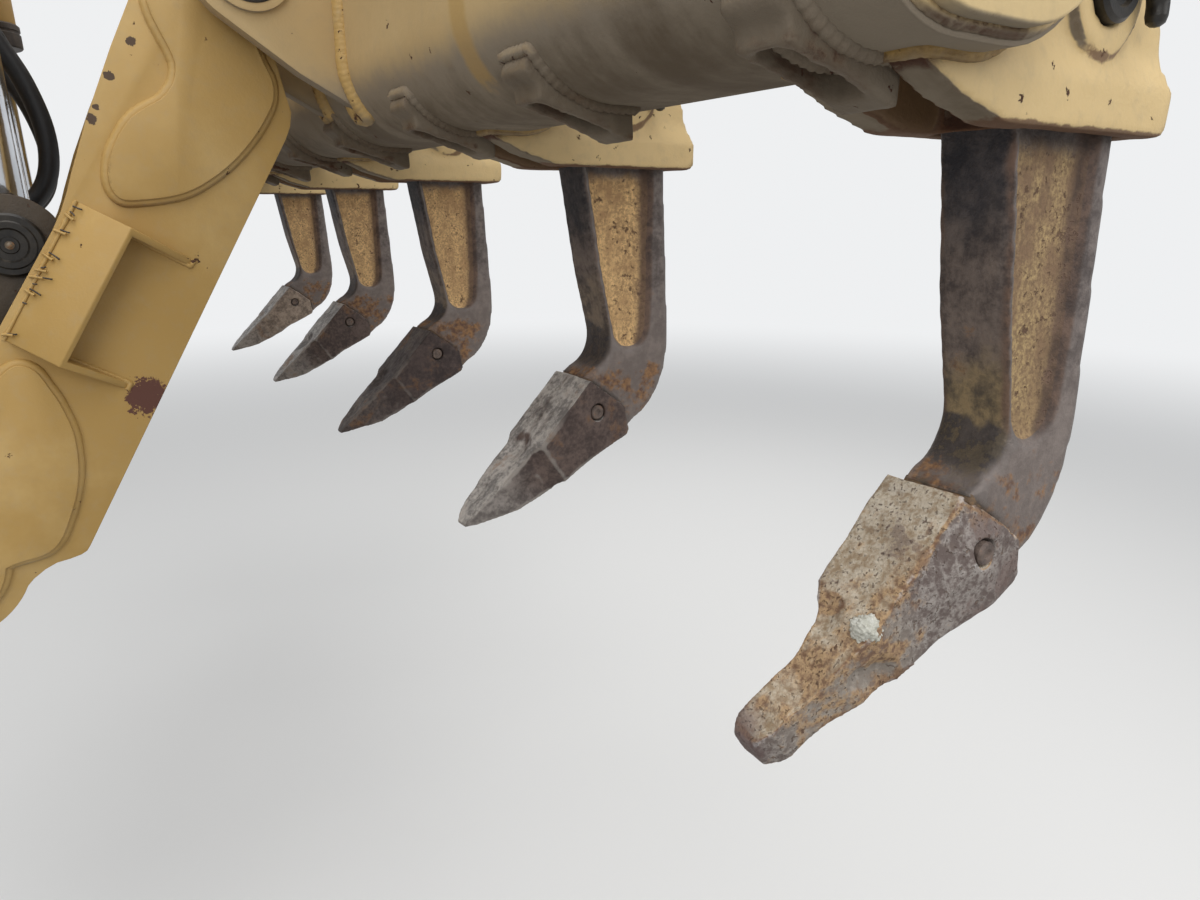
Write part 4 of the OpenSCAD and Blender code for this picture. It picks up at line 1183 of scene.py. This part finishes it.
def worn_lopsided(mesh):
    """Wears the bluntest tooth more on its near side, so that its nose leans to its far side."""
    place = points_of(mesh)
    along, up = along_tooth(place)
    depth = np.interp(along, *TOOTH_TOP) - up
    across = place[:, 1] - middle(f"tooth_{NOSE}").y
    share = across / np.interp(along, *TOOTH_HALF)
    near = np.interp(along, *WORN_NEAR)
    near -= unit(near - WORN_TOP) * unit(1 - depth / WORN_SLOPE)
    far = np.interp(along, *WORN_FAR)
    place[:, 1] += (far - near) / 2 + share * (far + near) / 2 - across
    start, run = WORN_END
    place += unit((along - start) / run)[:, None] * WORN_LONGER * np.array(TOOTH_WAY)
    set_points(mesh, place)


RECESS_DEPTH = 0.009
RECESS_EDGE = 0.0035  # from this depth on a point counts as inside
RECESS_LOW = -0.380
RECESS_REAR = 0.916  # from here on the recess is darkened with painted shade and rust, up to its rear wall
RECESS_SHADE = 0.040
RECESS_FADE = (0.003, 0.002)  # depths over which the mark fades at the recess's rim and below its floor
RECESS_PAST = 0.004


def mark_recess(mesh, node):
    """Marks the recess in each side of a shank, and its rear wall with the floor before it, which take painted
    shade and rust.
    """
    low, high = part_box(node)
    place = points_of(mesh)
    normal = normals_of(mesh)
    depth = (high[1] - low[1]) / 2 - np.abs(place[:, 1] - (high[1] + low[1]) / 2)
    rim, under = RECESS_FADE
    sunk = unit((depth - RECESS_EDGE) / rim) * unit((RECESS_DEPTH + RECESS_PAST - depth) / under)
    floor = sunk * unit(np.abs(normal[:, 1]) * 3 - 1.5) * (place[:, 2] > RECESS_LOW)
    around = unit(softened(mesh, floor, 16) * 8) * unit(-normal[:, 0] * 2.5)
    shaded = floor * unit((place[:, 0] - RECESS_REAR) / RECESS_SHADE)
    mark(mesh, "recess", softened(mesh, floor, 2))
    mark(mesh, "wall", softened(mesh, np.maximum(around, shaded), 2))


FRONT_LOW = -0.375  # the shank's front corners are round down to here


def round_front(mesh):
    """Wears the front corners of a shank round."""
    normal = softened(mesh, normals_of(mesh), 4)
    place = points_of(mesh)
    share = unit(1.6 - np.abs(normal[:, 0] + 0.72) * 4) * (np.abs(normal[:, 1]) > 0.25)
    share = unit(softened(mesh, share * (place[:, 2] > FRONT_LOW), 6) * 1.5)[:, None]
    for _ in range(9):
        place += (neighbour_mean(mesh, place) - place) * share
    set_points(mesh, place)


SLOT_HALF = 0.037  # just over half the width of a pocket's slot
SLOT_FADE = 0.002
ARC_RADIUS = 0.041
ARC_HALF = 0.009
ARC_MIDDLE = -60  # degrees: under the boss, and a little to its rear
ARC_SPREAD = 70
FOOT_RUST = 0.0075


def mark_boss_rust(mesh, node):
    """Marks a pocket's rust: an arc under its pin's boss, its foot's lower edge, and its slot."""
    place = points_of(mesh)
    sideways = np.abs(normals_of(mesh)[:, 1])
    x = place[:, 0] - SHANK_PIN.x
    z = place[:, 2] - SHANK_PIN.z
    turn = np.degrees(np.arctan2(z, x))
    arc = unit(1 - np.abs(np.hypot(x, z) - ARC_RADIUS) / ARC_HALF)
    arc = arc * unit(1.4 - np.abs(turn - ARC_MIDDLE) / ARC_SPREAD)
    foot = unit(1 - np.abs(place[:, 2] - place[:, 2].min()) / FOOT_RUST)
    inside = SLOT_HALF - np.abs(place[:, 1] - middle(node).y)
    slot = unit(inside / SLOT_FADE) * unit(sideways * 3 - 1)
    mark(mesh, "rust", np.maximum(np.maximum(arc * 0.6, foot * 0.7), slot) * 1.3)


def wear_of(node):
    """How a casting is worn: its dents, and the function that wears it down."""
    if node.startswith("tooth_"):
        k = int(node[-1])
        return tooth_dents(k), worn_lopsided if k == NOSE else worn_sharp
    return (), round_front if node.startswith("shank_") else None


def build_castings():
    marks = {"shank_": mark_recess, "pocket_": mark_boss_rust}
    for start, grain, soften, finish, lumps in CASTINGS:
        nodes = sorted(node for node in frame["nodes"] if node.startswith(start) and node[-4:] != "pins")
        for seed, node in enumerate(nodes):
            mesh = cast(node, grain, soften, lumps, seed, *wear_of(node))
            if start in marks:
                marks[start](mesh, node)
            link_piece(node + "_cast", mesh, "tool_beam", ODD_PIECES.get(node, finish), [node])


def build_plates():
    for node, (finish, edge) in PLATES.items():
        mesh = rounded(node + "_dressed", as_mesh(node, welded_copy(node)), edge)
        link_piece(node + "_dressed", mesh, BODY_OF[node], finish, [node])


# Pins

def span_across(node):
    """Nearest and furthest distance of a node from the middle of the machine."""
    across = [abs(vert.co.y) for vert in frame["nodes"][node].data.vertices]
    return min(across), max(across)


BEAM_PIN_PROUD = 0.003
# Columns: node, its axis, radius, body, how far it stands out of its ear, and its keeper's side
PINS = (
    ("arm_pivot_pins", ARM_FOOT, 0.030, "mount_frame", 0.006, Vector((-0.9, 0, 0.436))),
    ("barrel_pins", BARREL_PIN, 0.020, "mount_frame", 0.006, Vector((-1, 0, 0))),
    ("link_pivot_pins", LINK_FOOT, 0.020, "mount_frame", 0.008, Vector((-1, 0, 0))),
    ("beam_pins", ARM_TOP, 0.030, "tool_beam", BEAM_PIN_PROUD, Vector((0.3, 0, 0.954))),
    ("link_ear_pins", LINK_TOP, 0.020, "tool_beam", 0.008, Vector((0, 0, -1))),
)
KEEPER = (0.052, 0.024, 0.006)
KEEPER_GAP = 0.0002
KEEPER_EDGE = 0.0012
KEEPER_BOLT = 0.016  # from the keeper's middle
KEEPER_BOLT_SIZE = (0.013, 0.0065)  # across the flats of its head, and its height
PIN_NIPPLE_SUNK = 0.004


def pin_profile(length, radius):
    """A plain pin with chamfered ends and a centre hole in each end."""
    end = [(0.004, 0), (0.004, radius * 0.22), (0, radius * 0.30), (0, radius - 0.003), (0.003, radius)]
    far = [(length - along, size) for along, size in reversed(end)]
    return end + far


def build_pins():
    """Pins with a keeper plate bolted beside each outer end, and a grease nipple in it."""
    keepers, bolts, nipples = ({"mount_frame": [], "tool_beam": []} for _ in range(3))
    for node, axis, radius, body, proud, out in PINS:
        near, far = span_across(node)
        shapes = []
        for side in SIDES.values():
            way = ACROSS * side
            start = Vector((axis.x, side * near, axis.z))
            shapes.append(turned(pin_profile(far - near, radius), start, way))
            outer = Vector((axis.x, side * far, axis.z))
            nipples[body].append((outer - way * PIN_NIPPLE_SUNK, way))
            rest = way * (KEEPER[2] / 2 + KEEPER_GAP - proud)
            centre = outer + rest + out * (radius + KEEPER[1] / 2)
            length_way = out.cross(ACROSS)
            keepers[body].append(slab(KEEPER, centre, length_way, way))
            for shift in (-KEEPER_BOLT, KEEPER_BOLT):
                bolts[body].append((centre + length_way * shift + way * KEEPER[2] / 2, way))
        # The beam pins take the lighter bolt steel, partly as a painted highlight on their ends
        turned_piece(node + "_turned", shapes, body, "bolt" if node == "beam_pins" else "pin", [node])
    for body in keepers:
        mesh = rounded(body + "_keepers", joined(body + "_keepers", keepers[body]), KEEPER_EDGE)
        link_piece(body + "_keepers", mesh, body, "paint_dirty")
        bolt = bolt_model(*KEEPER_BOLT_SIZE)
        scattered(body + "_keeper_bolts", bolt, bolts[body], body, "bolt")
        scattered(body + "_nipples", nipple_model(), nipples[body], body, "bolt")


# Profiles of turned parts: distance along, and radius
NIPPLE = ((0, 0), (0, 0.0045), (0.003, 0.0045), (0.003, 0.0028), (0.0065, 0.0024), (0.0075, 0.0032),
          (0.009, 0.0032), (0.0102, 0.0018), (0.0104, 0))
SHANK_PIN_END = ((0, 0), (0, 0.022), (0.0545, 0.022), (0.057, 0.0195), (0.057, 0.0135), (0.0540, 0.0120),
                 (0.0540, 0))
HANDLE_TIP = ((0, 0.0068), (0.004, 0.0058), (0.0062, 0.003), (0.0068, 0))
TOOTH_PIN_END = ((0, 0), (0, 0.0094), (0.0405, 0.0094), (0.0425, 0.0078), (0.0425, 0.0046), (0.0412, 0.0032),
                 (0.0412, 0))
ROD_CAP = ((-0.024, 0), (-0.024, 0.020), (0, 0.020), (0, 0.0325), (0.0015, 0.034), (0.0045, 0.034),
           (0.0065, 0.0315), (0.0065, 0.0260), (0.0080, 0.0245), (0.0080, 0.0185), (0.0055, 0.0165),
           (0.0055, 0.0095), (0.0066, 0.0085), (0.0066, 0))
BOSS_SEAL = ((-0.0005, 0.0302), (0.0012, 0.0302), (0.0018, 0.0325), (0.0012, 0.0375), (-0.0005, 0.0380))
GLAND = ((0, 0.0266), (0, 0.0480), (0.002, 0.0500), (0.009, 0.0500), (0.010, 0.0485), (0.013, 0.0485),
         (0.014, 0.0500), (0.032, 0.0500), (0.034, 0.0480), (0.034, 0.0330), (0.031, 0.0315), (0.031, 0.0266))
WASHER_T = 0.0016
HANDLE_R = 0.0068
HANDLE_OUT = -0.0600
# The handle's points from the pin's middle
HANDLE = ((-0.004, 0.002), (0.018, 0.006), (0.030, 0.003), (0.036, -0.006), (0.037, -0.015))


def bolt_model(across_flats, height):
    """A bolt's head on its washer, along +Z from the origin."""
    washer_r = across_flats * 0.78
    profile = ((0, 0), (0, washer_r), (WASHER_T, washer_r), (WASHER_T, 0))
    washer = turned(profile, (0, 0, 0), (0, 0, 1), 20)
    return joined("bolt", [washer, hexagon(across_flats, height, (0, 0, WASHER_T), (0, 0, 1))])


def nipple_model():
    return as_mesh("nipple", turned(NIPPLE, (0, 0, 0), (0, 0, 1), 14))


def build_shank_pins():
    """Each shank's pin: its ends stand out of the pocket with a sunk middle, and one has a bent handle."""
    shapes = []
    for k in ROWS:
        centre = SHANK_PIN + ACROSS * middle(f"shank_{k}").y
        shapes += [turned(SHANK_PIN_END, centre, ACROSS * side) for side in (-1, 1)]
        bend = [centre + Vector((x, HANDLE_OUT, z)) for x, z in HANDLE]
        shapes.append(swept(smooth_path(bend, 4), HANDLE_R, 14))
        shapes.append(turned(HANDLE_TIP, bend[-1], (0, 0, -1), 14))
    turned_piece("shank_pins_turned", shapes, "tool_beam", "oiled", ["shank_pins"])


def build_tooth_pins():
    """Each pin lies a little inside its hole in the tooth, with a dimple in its end."""
    shapes = []
    for k in ROWS:
        centre = TOOTH_PIN + ACROSS * middle(f"tooth_{k}").y
        shapes += [turned(TOOTH_PIN_END, centre, ACROSS * side, 24) for side in (-1, 1)]
    turned_piece("tooth_pins_turned", shapes, "tool_beam", "tooth_pin", ["tooth_pins"])


ROD_CAP_SUNK = 0.008
NIPPLE_AT = 0.0055


def build_rod_pin_caps():
    """The rod pin's two ends in each bracket: an oily black ring with a nipple in its middle."""
    near, far = span_across("rod_pin_caps")
    shapes, nipples = [], []
    for side in SIDES.values():
        for start, turn in ((far - ROD_CAP_SUNK, side), (near + ROD_CAP_SUNK, -side)):
            place = Vector((ROD_PIN.x, side * start, ROD_PIN.z))
            way = ACROSS * turn
            shapes.append(turned(ROD_CAP, place, way, 48))
            nipples.append((place + way * NIPPLE_AT, way))
    turned_piece("rod_pin_caps_turned", shapes, "lift_arms", "oiled", ["rod_pin_caps"])
    scattered("rod_pin_nipples", nipple_model(), nipples, "lift_arms", "bolt")


def build_boss_seals():
    """A dark seal round each beam pin, on the ear's boss."""
    shapes = []
    far = span_across("beam_pins")[1] - BEAM_PIN_PROUD
    for side in SIDES.values():
        place = Vector((ARM_TOP.x, side * far, ARM_TOP.z))
        shapes.append(turned(BOSS_SEAL, place, ACROSS * side, 48, closed=True))
    turned_piece("boss_seals", shapes, "tool_beam", "oiled")


# Lift cylinders

CYLINDER_DOWN = Vector((ROD_PIN.x - BARREL_PIN.x, 0, ROD_PIN.z - BARREL_PIN.z)).normalized()
CYLINDER_REAR = Vector((-CYLINDER_DOWN.z, 0, CYLINDER_DOWN.x))
CYLINDER_Y = abs(BARREL_PIN.y)
BARREL_L = 0.520
GLAND_L = 0.034


def on_cylinder(side, down, rear=0.0, y=None):
    """A point down a cylinder from its top pin and to the rear of its middle line."""
    across = SIDES[side] * (CYLINDER_Y if y is None else y)
    point = BARREL_PIN + CYLINDER_DOWN * down + CYLINDER_REAR * rear
    return Vector((point.x, across, point.z))


def build_glands():
    """The barrel's screwed end: turned grooves, and a wiper round the rod."""
    for side in SIDES:
        start = on_cylinder(side, BARREL_L - GLAND_L)
        shapes = [turned(GLAND, start, CYLINDER_DOWN, 56, closed=True)]
        turned_piece(f"gland_{side}_turned", shapes, f"cylinder_{side}", "pin", [f"gland_{side}"])


# Hoses

HOSE_R = 0.011
HOSE_Y = 0.168
# Each hose's points in millimetres: x and z
LOWER_ROUTE = ((283, 40), (300, 0), (318, -40), (330, -90), (328, -135), (312, -168), (280, -192),
               (230, -208), (170, -220), (120, -228), (86.3, -230), (66.3, -230))
UPPER_ROUTE = ((180, 492), (152, 468), (130, 432), (112, 400), (86.3, 380), (66.3, 380))
ELBOW_L = 0.034
ELBOW_LOWER = 0.441
ELBOW_UPPER = 0.074
HOSE_GAP = 0.0003
FERRULE_L = 0.030
SPAN_STEPS = 6
SECOND_POINT = 0.020
NUT_SIZE = (0.0275, 0.012)
NUT_BACK = 0.013
CRIMPS = 4
CRIMP_FIRST = 0.003
CRIMP_STEP = 0.0065
FERRULE_R = 0.0150
FERRULE_SUNK = 0.001
CRIMP_R = 0.0142
# Profiles from the start of a crimp, and back from the ferrule's end
CRIMP = ((0, FERRULE_R), (0.001, CRIMP_R), (0.0025, CRIMP_R), (0.0035, FERRULE_R))
FERRULE_END = ((-0.002, 0.0148), (0, 0.0128), (0, 0))


def smooth_path(points, steps):
    """A smooth line through the points."""
    path = []
    for i in range(len(points) - 1):
        a, b, c, d = (points[min(max(i + j, 0), len(points) - 1)] for j in (-1, 0, 1, 2))
        for step in range(steps):
            t = step / steps
            square = (2 * a - 5 * b + 4 * c - d) * t ** 2
            cube = (3 * b - a - 3 * c + d) * t ** 3
            path.append(0.5 * (2 * b + (c - a) * t + square + cube))
    return path + [points[-1].copy()]


def swept(path, radius, sides=16):
    """A closed tube along a line that lies in one plane across the machine."""
    shape = bmesh.new()
    rings = []
    for i, place in enumerate(path):
        ahead = path[min(i + 1, len(path) - 1)] - path[max(i - 1, 0)]
        square = Vector((-ahead.z, 0, ahead.x)).normalized()
        ring = [place + (square * x + ACROSS * y) * radius for x, y in turns(sides)]
        rings.append([shape.verts.new(spot) for spot in ring])
    for low, high in zip(rings, rings[1:]):
        for j in range(sides):
            shape.faces.new((low[j], low[(j + 1) % sides], high[(j + 1) % sides], high[j]))
    shape.faces.new(rings[0])
    shape.faces.new(rings[-1])
    bmesh.ops.recalc_face_normals(shape, faces=shape.faces)
    return shape


def hose_points(side, kind):
    """The hose's points from its elbow on the barrel to its port in the plate."""
    points = []
    for out in (HOSE_GAP, SECOND_POINT):
        lower = (ELBOW_LOWER + ELBOW_L + out, 0)
        upper = (ELBOW_UPPER, -ELBOW_L - out)
        points.append(on_cylinder(side, *(lower if kind == "lower" else upper), HOSE_Y))
    route = LOWER_ROUTE if kind == "lower" else UPPER_ROUTE
    return points + [Vector((x / 1000, SIDES[side] * HOSE_Y, z / 1000)) for x, z in route]


def hose_fitting(place, way):
    """A nut and a crimped sleeve where a hose meets its elbow or port."""
    nut = hexagon(*NUT_SIZE, place - way * NUT_BACK, way)
    profile = [(0, 0), (0, FERRULE_R)]
    for i in range(CRIMPS):
        start = CRIMP_FIRST + i * CRIMP_STEP
        profile += [(start + along, radius) for along, radius in CRIMP]
    profile += [(FERRULE_L + along, radius) for along, radius in FERRULE_END]
    return [nut, turned(profile, place - way * FERRULE_SUNK, way, 24)]


def build_hoses():
    for side in SIDES:
        for kind in ("lower", "upper"):
            node = f"hose_{side}_{kind}"
            path = smooth_path(hose_points(side, kind), SPAN_STEPS)
            mesh = as_mesh(node + "_tube", swept(path, HOSE_R))
            mesh.shade_smooth()
            piece = link_piece(node + "_tube", mesh, None, "rubber", [node])
            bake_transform(piece)
            length = sum((b - a).length for a, b in zip(path, path[1:]))
            first = hose_fitting(path[0], (path[1] - path[0]).normalized())
            last = hose_fitting(path[-1], (path[-2] - path[-1]).normalized())
            turned_piece(node + "_elbow_fitting", first, f"cylinder_{side}", "bolt")
            turned_piece(node + "_port_fitting", last, "mount_frame", "bolt")


# Welds

BARREL_TOP = 0.060
NECK_R = 0.0250
ON_FACE = 2e-4  # how near a point lies to a flat face that it is on
ON_CURVE = 0.0012  # the same on a round one, whose facets cut its corners
PIN_CLEAR = 0.04
# The guard's place on the arm: where it starts along the arm, its length, its front edge and its slope
GUARD_AT = 0.304
GUARD_L = 0.168
GUARD_FRONT = -0.034
GUARD_SLOPE = 0.038 / 0.052
GUARD_T = 0.0042
SLIVER_SHARE = 0.6
# What runs along each guard's front edge: its uneven cut, slivers of paint, and dark nicks.
# Columns: name of the bead, radius, finish, length and height of its ripples, unevenness
GUARD_BEADS = (
    ("guard_front_welds", 0.0024, "paint_sheet", 0.013, 0.10, 1.3),
    ("guard_slivers", 0.0015, "paint_sheet", 0.006, 0.10, 1.2),
    ("guard_nicks", 0.0009, "pin", 0.003, 0.10, 1.3),
)


def level(value, target):
    return abs(abs(value) - target) < ON_FACE


def build_welds():
    arm_in, arm_out = span_across("lift_arm_right")
    plate_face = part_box("mounting_plate")[1][0]
    tube = middle("arm_tube")
    tube_r = (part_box("arm_tube")[1][2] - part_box("arm_tube")[0][2]) / 2
    cheek = span_across("side_frame_right")[0]
    beam_end = span_across("beam")[1]

    def on_arm_face(point):
        clear = min(flat_gap(point, ARM_TOP), flat_gap(point, ARM_FOOT)) > PIN_CLEAR
        return clear and (level(point.y, arm_in) or level(point.y, arm_out))

    def on_guard_end(point):
        across = (point - ARM_TOP).dot(ARM_ACROSS)
        return level(point.y, arm_out) and across > GUARD_FRONT + 0.001

    def on_plate(point):
        return abs(point.x - plate_face) < ON_FACE

    def on_beam(point):
        return abs(off_beam(point)) < ON_CURVE

    def on_tube(point):
        return abs(flat_gap(point, tube) - tube_r) < ON_CURVE

    def on_cheek(point):
        return level(point.y, cheek)

    def on_beam_end(point):
        return level(point.y, beam_end)

    for side in SIDES:
        doublers = edge_lines(f"arm_doublers_{side}", on_arm_face)
        weld(f"doubler_welds_{side}", doublers, "lift_arms", 0.0070, height=0.02, uneven=0.25)
        weld(f"side_frame_welds_{side}", edge_lines(f"side_frame_{side}", on_plate), "mount_frame", 0.0060)
        neck = ring_line(on_cylinder(side, BARREL_TOP - 0.001), CYLINDER_DOWN, NECK_R)
        weld(f"barrel_welds_{side}", [neck], f"cylinder_{side}", 0.0050)
    ends = edge_lines("hose_guards", on_guard_end)
    weld("guard_welds", ends, "lift_arms", 0.0032, "paint_sheet", uneven=0.3)
    for (name, *columns), lines in zip(GUARD_BEADS, guard_fronts()):
        weld(name, lines, "lift_arms", *columns)
    rough = {"finish": "paint_bead", "height": 0.03, "uneven": 0.4}
    smooth = {"finish": "paint_bead", "height": 0.04}
    clean = {"finish": "paint_cap", "height": 0.03, "uneven": 0.25}
    # Columns: name of the bead, node along whose edges it runs, which of them, body, radius, the rest
    beads = [
        ("arm_tube_welds", "arm_tube", on_arm_face, "lift_arms", 0.0070, {}),
        ("rod_bracket_welds", "rod_brackets", on_tube, "lift_arms", 0.0060, {"finish": "paint_dirty"}),
        ("link_bracket_welds", "link_brackets", on_plate, "mount_frame", 0.0050, {}),
        ("frame_tube_welds", "frame_tubes", on_cheek, "mount_frame", 0.0050, {}),
        ("lower_ear_welds", "lower_ears", on_beam, "tool_beam", 0.0105, {**rough, "ripple": 0.006}),
        ("upper_ear_welds", "upper_ears", on_beam, "tool_beam", 0.0075, smooth),
        ("socket_welds", "scarifier_sockets", on_beam, "tool_beam", 0.0060, {"finish": "paint_beam"}),
    ]
    beads += [(f"pocket_{k}_welds", f"pocket_{k}", on_beam, "tool_beam", 0.0050, rough) for k in ROWS]
    beads.append(("beam_cap_welds", "beam_caps", on_beam_end, "tool_beam", 0.0050, clean))
    for name, node, keep, body, radius, settings in beads:
        weld(name, edge_lines(node, keep), body, radius, **settings)


def guard_line(along, lean, reaches, y, side):
    """A short line up a guard's slope, or off its front edge, leaning along the arm."""
    line = []
    for j, across in enumerate(reaches):
        rise = GUARD_T + max(across, across * 0.5) * GUARD_SLOPE
        line.append(on_arm(along + lean * j, GUARD_FRONT + across, y + side * rise))
    return line


def guard_fronts():
    """The lines of each guard's front edge, of the slivers of paint on it, and of its nicks."""
    fronts, slivers, nicks = [], [], []
    face = span_across("lift_arm_right")[1]
    chance = random.Random(12)
    for side in SIDES.values():
        y = side * face
        fronts.append([on_arm(GUARD_AT + GUARD_L * i / 12, GUARD_FRONT - 0.0015, y) for i in range(13)])
        along = GUARD_AT + 0.006
        while along < GUARD_AT + GUARD_L - 0.008:
            lean = chance.uniform(-0.0012, 0.0022)
            reach = 0.0015 + 0.011 * chance.random() ** 2
            nicks.append(guard_line(along, lean, (reach, reach * 0.5, -0.002), y, side))
            if chance.random() < SLIVER_SHARE:
                start = along + chance.uniform(0.002, 0.005)
                reaches = (0.004, -0.002, chance.uniform(-0.008, -0.004))
                slivers.append(guard_line(start, lean, reaches, y, side))
            along += 0.009 + 0.026 * chance.random() ** 2
    return fronts, slivers, nicks


# The joint between shank and tooth, from the tooth's pin: its front and its rear end
DIRT_FRONT = Vector((-0.009, 0, 0.0415))
DIRT_REAR = Vector((0.042, 0, 0.003))
DIRT_T = 0.0070
DIRT_W = 0.058
DIRT_EDGE = 0.001
MUD_AT = (0.103, 0.0140, -0.0140)
MUD_R = 0.0105
# Columns: how fine the crust's lumps and ridges are, and their height
MUD_LUMPS = ((1.7, 0.2), (9, 0.07))
MUD_RIDGES = (4.2, 0.28)
MUD_CORE = 0.95


def build_packed_dirt():
    """Dirt packed into the joint between each shank and its tooth."""
    shapes = []
    run = DIRT_REAR - DIRT_FRONT
    for k in ROWS:
        place = TOOTH_PIN + (DIRT_FRONT + DIRT_REAR) / 2 + ACROSS * middle(f"tooth_{k}").y
        shapes.append(slab((run.length, DIRT_T, DIRT_W), place, run, ACROSS))
    mesh = rounded("packed_dirt", joined("packed_dirt", shapes), DIRT_EDGE)
    link_piece("packed_dirt", mesh, "tool_beam", "packed_dirt")


def build_mud():
    """A ragged crust of dried mud on the neck of the bluntest tooth."""
    shape = bmesh.new()
    bmesh.ops.create_icosphere(shape, subdivisions=5, radius=1.0)
    centre = Vector(on_tooth(NOSE, *MUD_AT))
    ridge, rise = MUD_RIDGES
    for vert in shape.verts:
        lump = MUD_CORE + rise * abs(noise.noise(vert.co * ridge))
        lump += sum(height * noise.noise(vert.co * scale) for scale, height in MUD_LUMPS)
        vert.co = centre + vert.co * MUD_R * lump
    mesh = as_mesh("mud", shape)
    mesh.shade_smooth()
    link_piece("dried_mud", mesh, "tool_beam", "mud")


build_camera()
finishes = build_finishes()
trees = {"weld": weld_tree(), "scatter": scatter_tree()}
build_hoses()
build_floor()
build_lights()
build_castings()
build_plates()
build_pins()
build_shank_pins()
build_tooth_pins()
build_rod_pin_caps()
build_boss_seals()
build_glands()
build_welds()
build_packed_dirt()
build_mud()
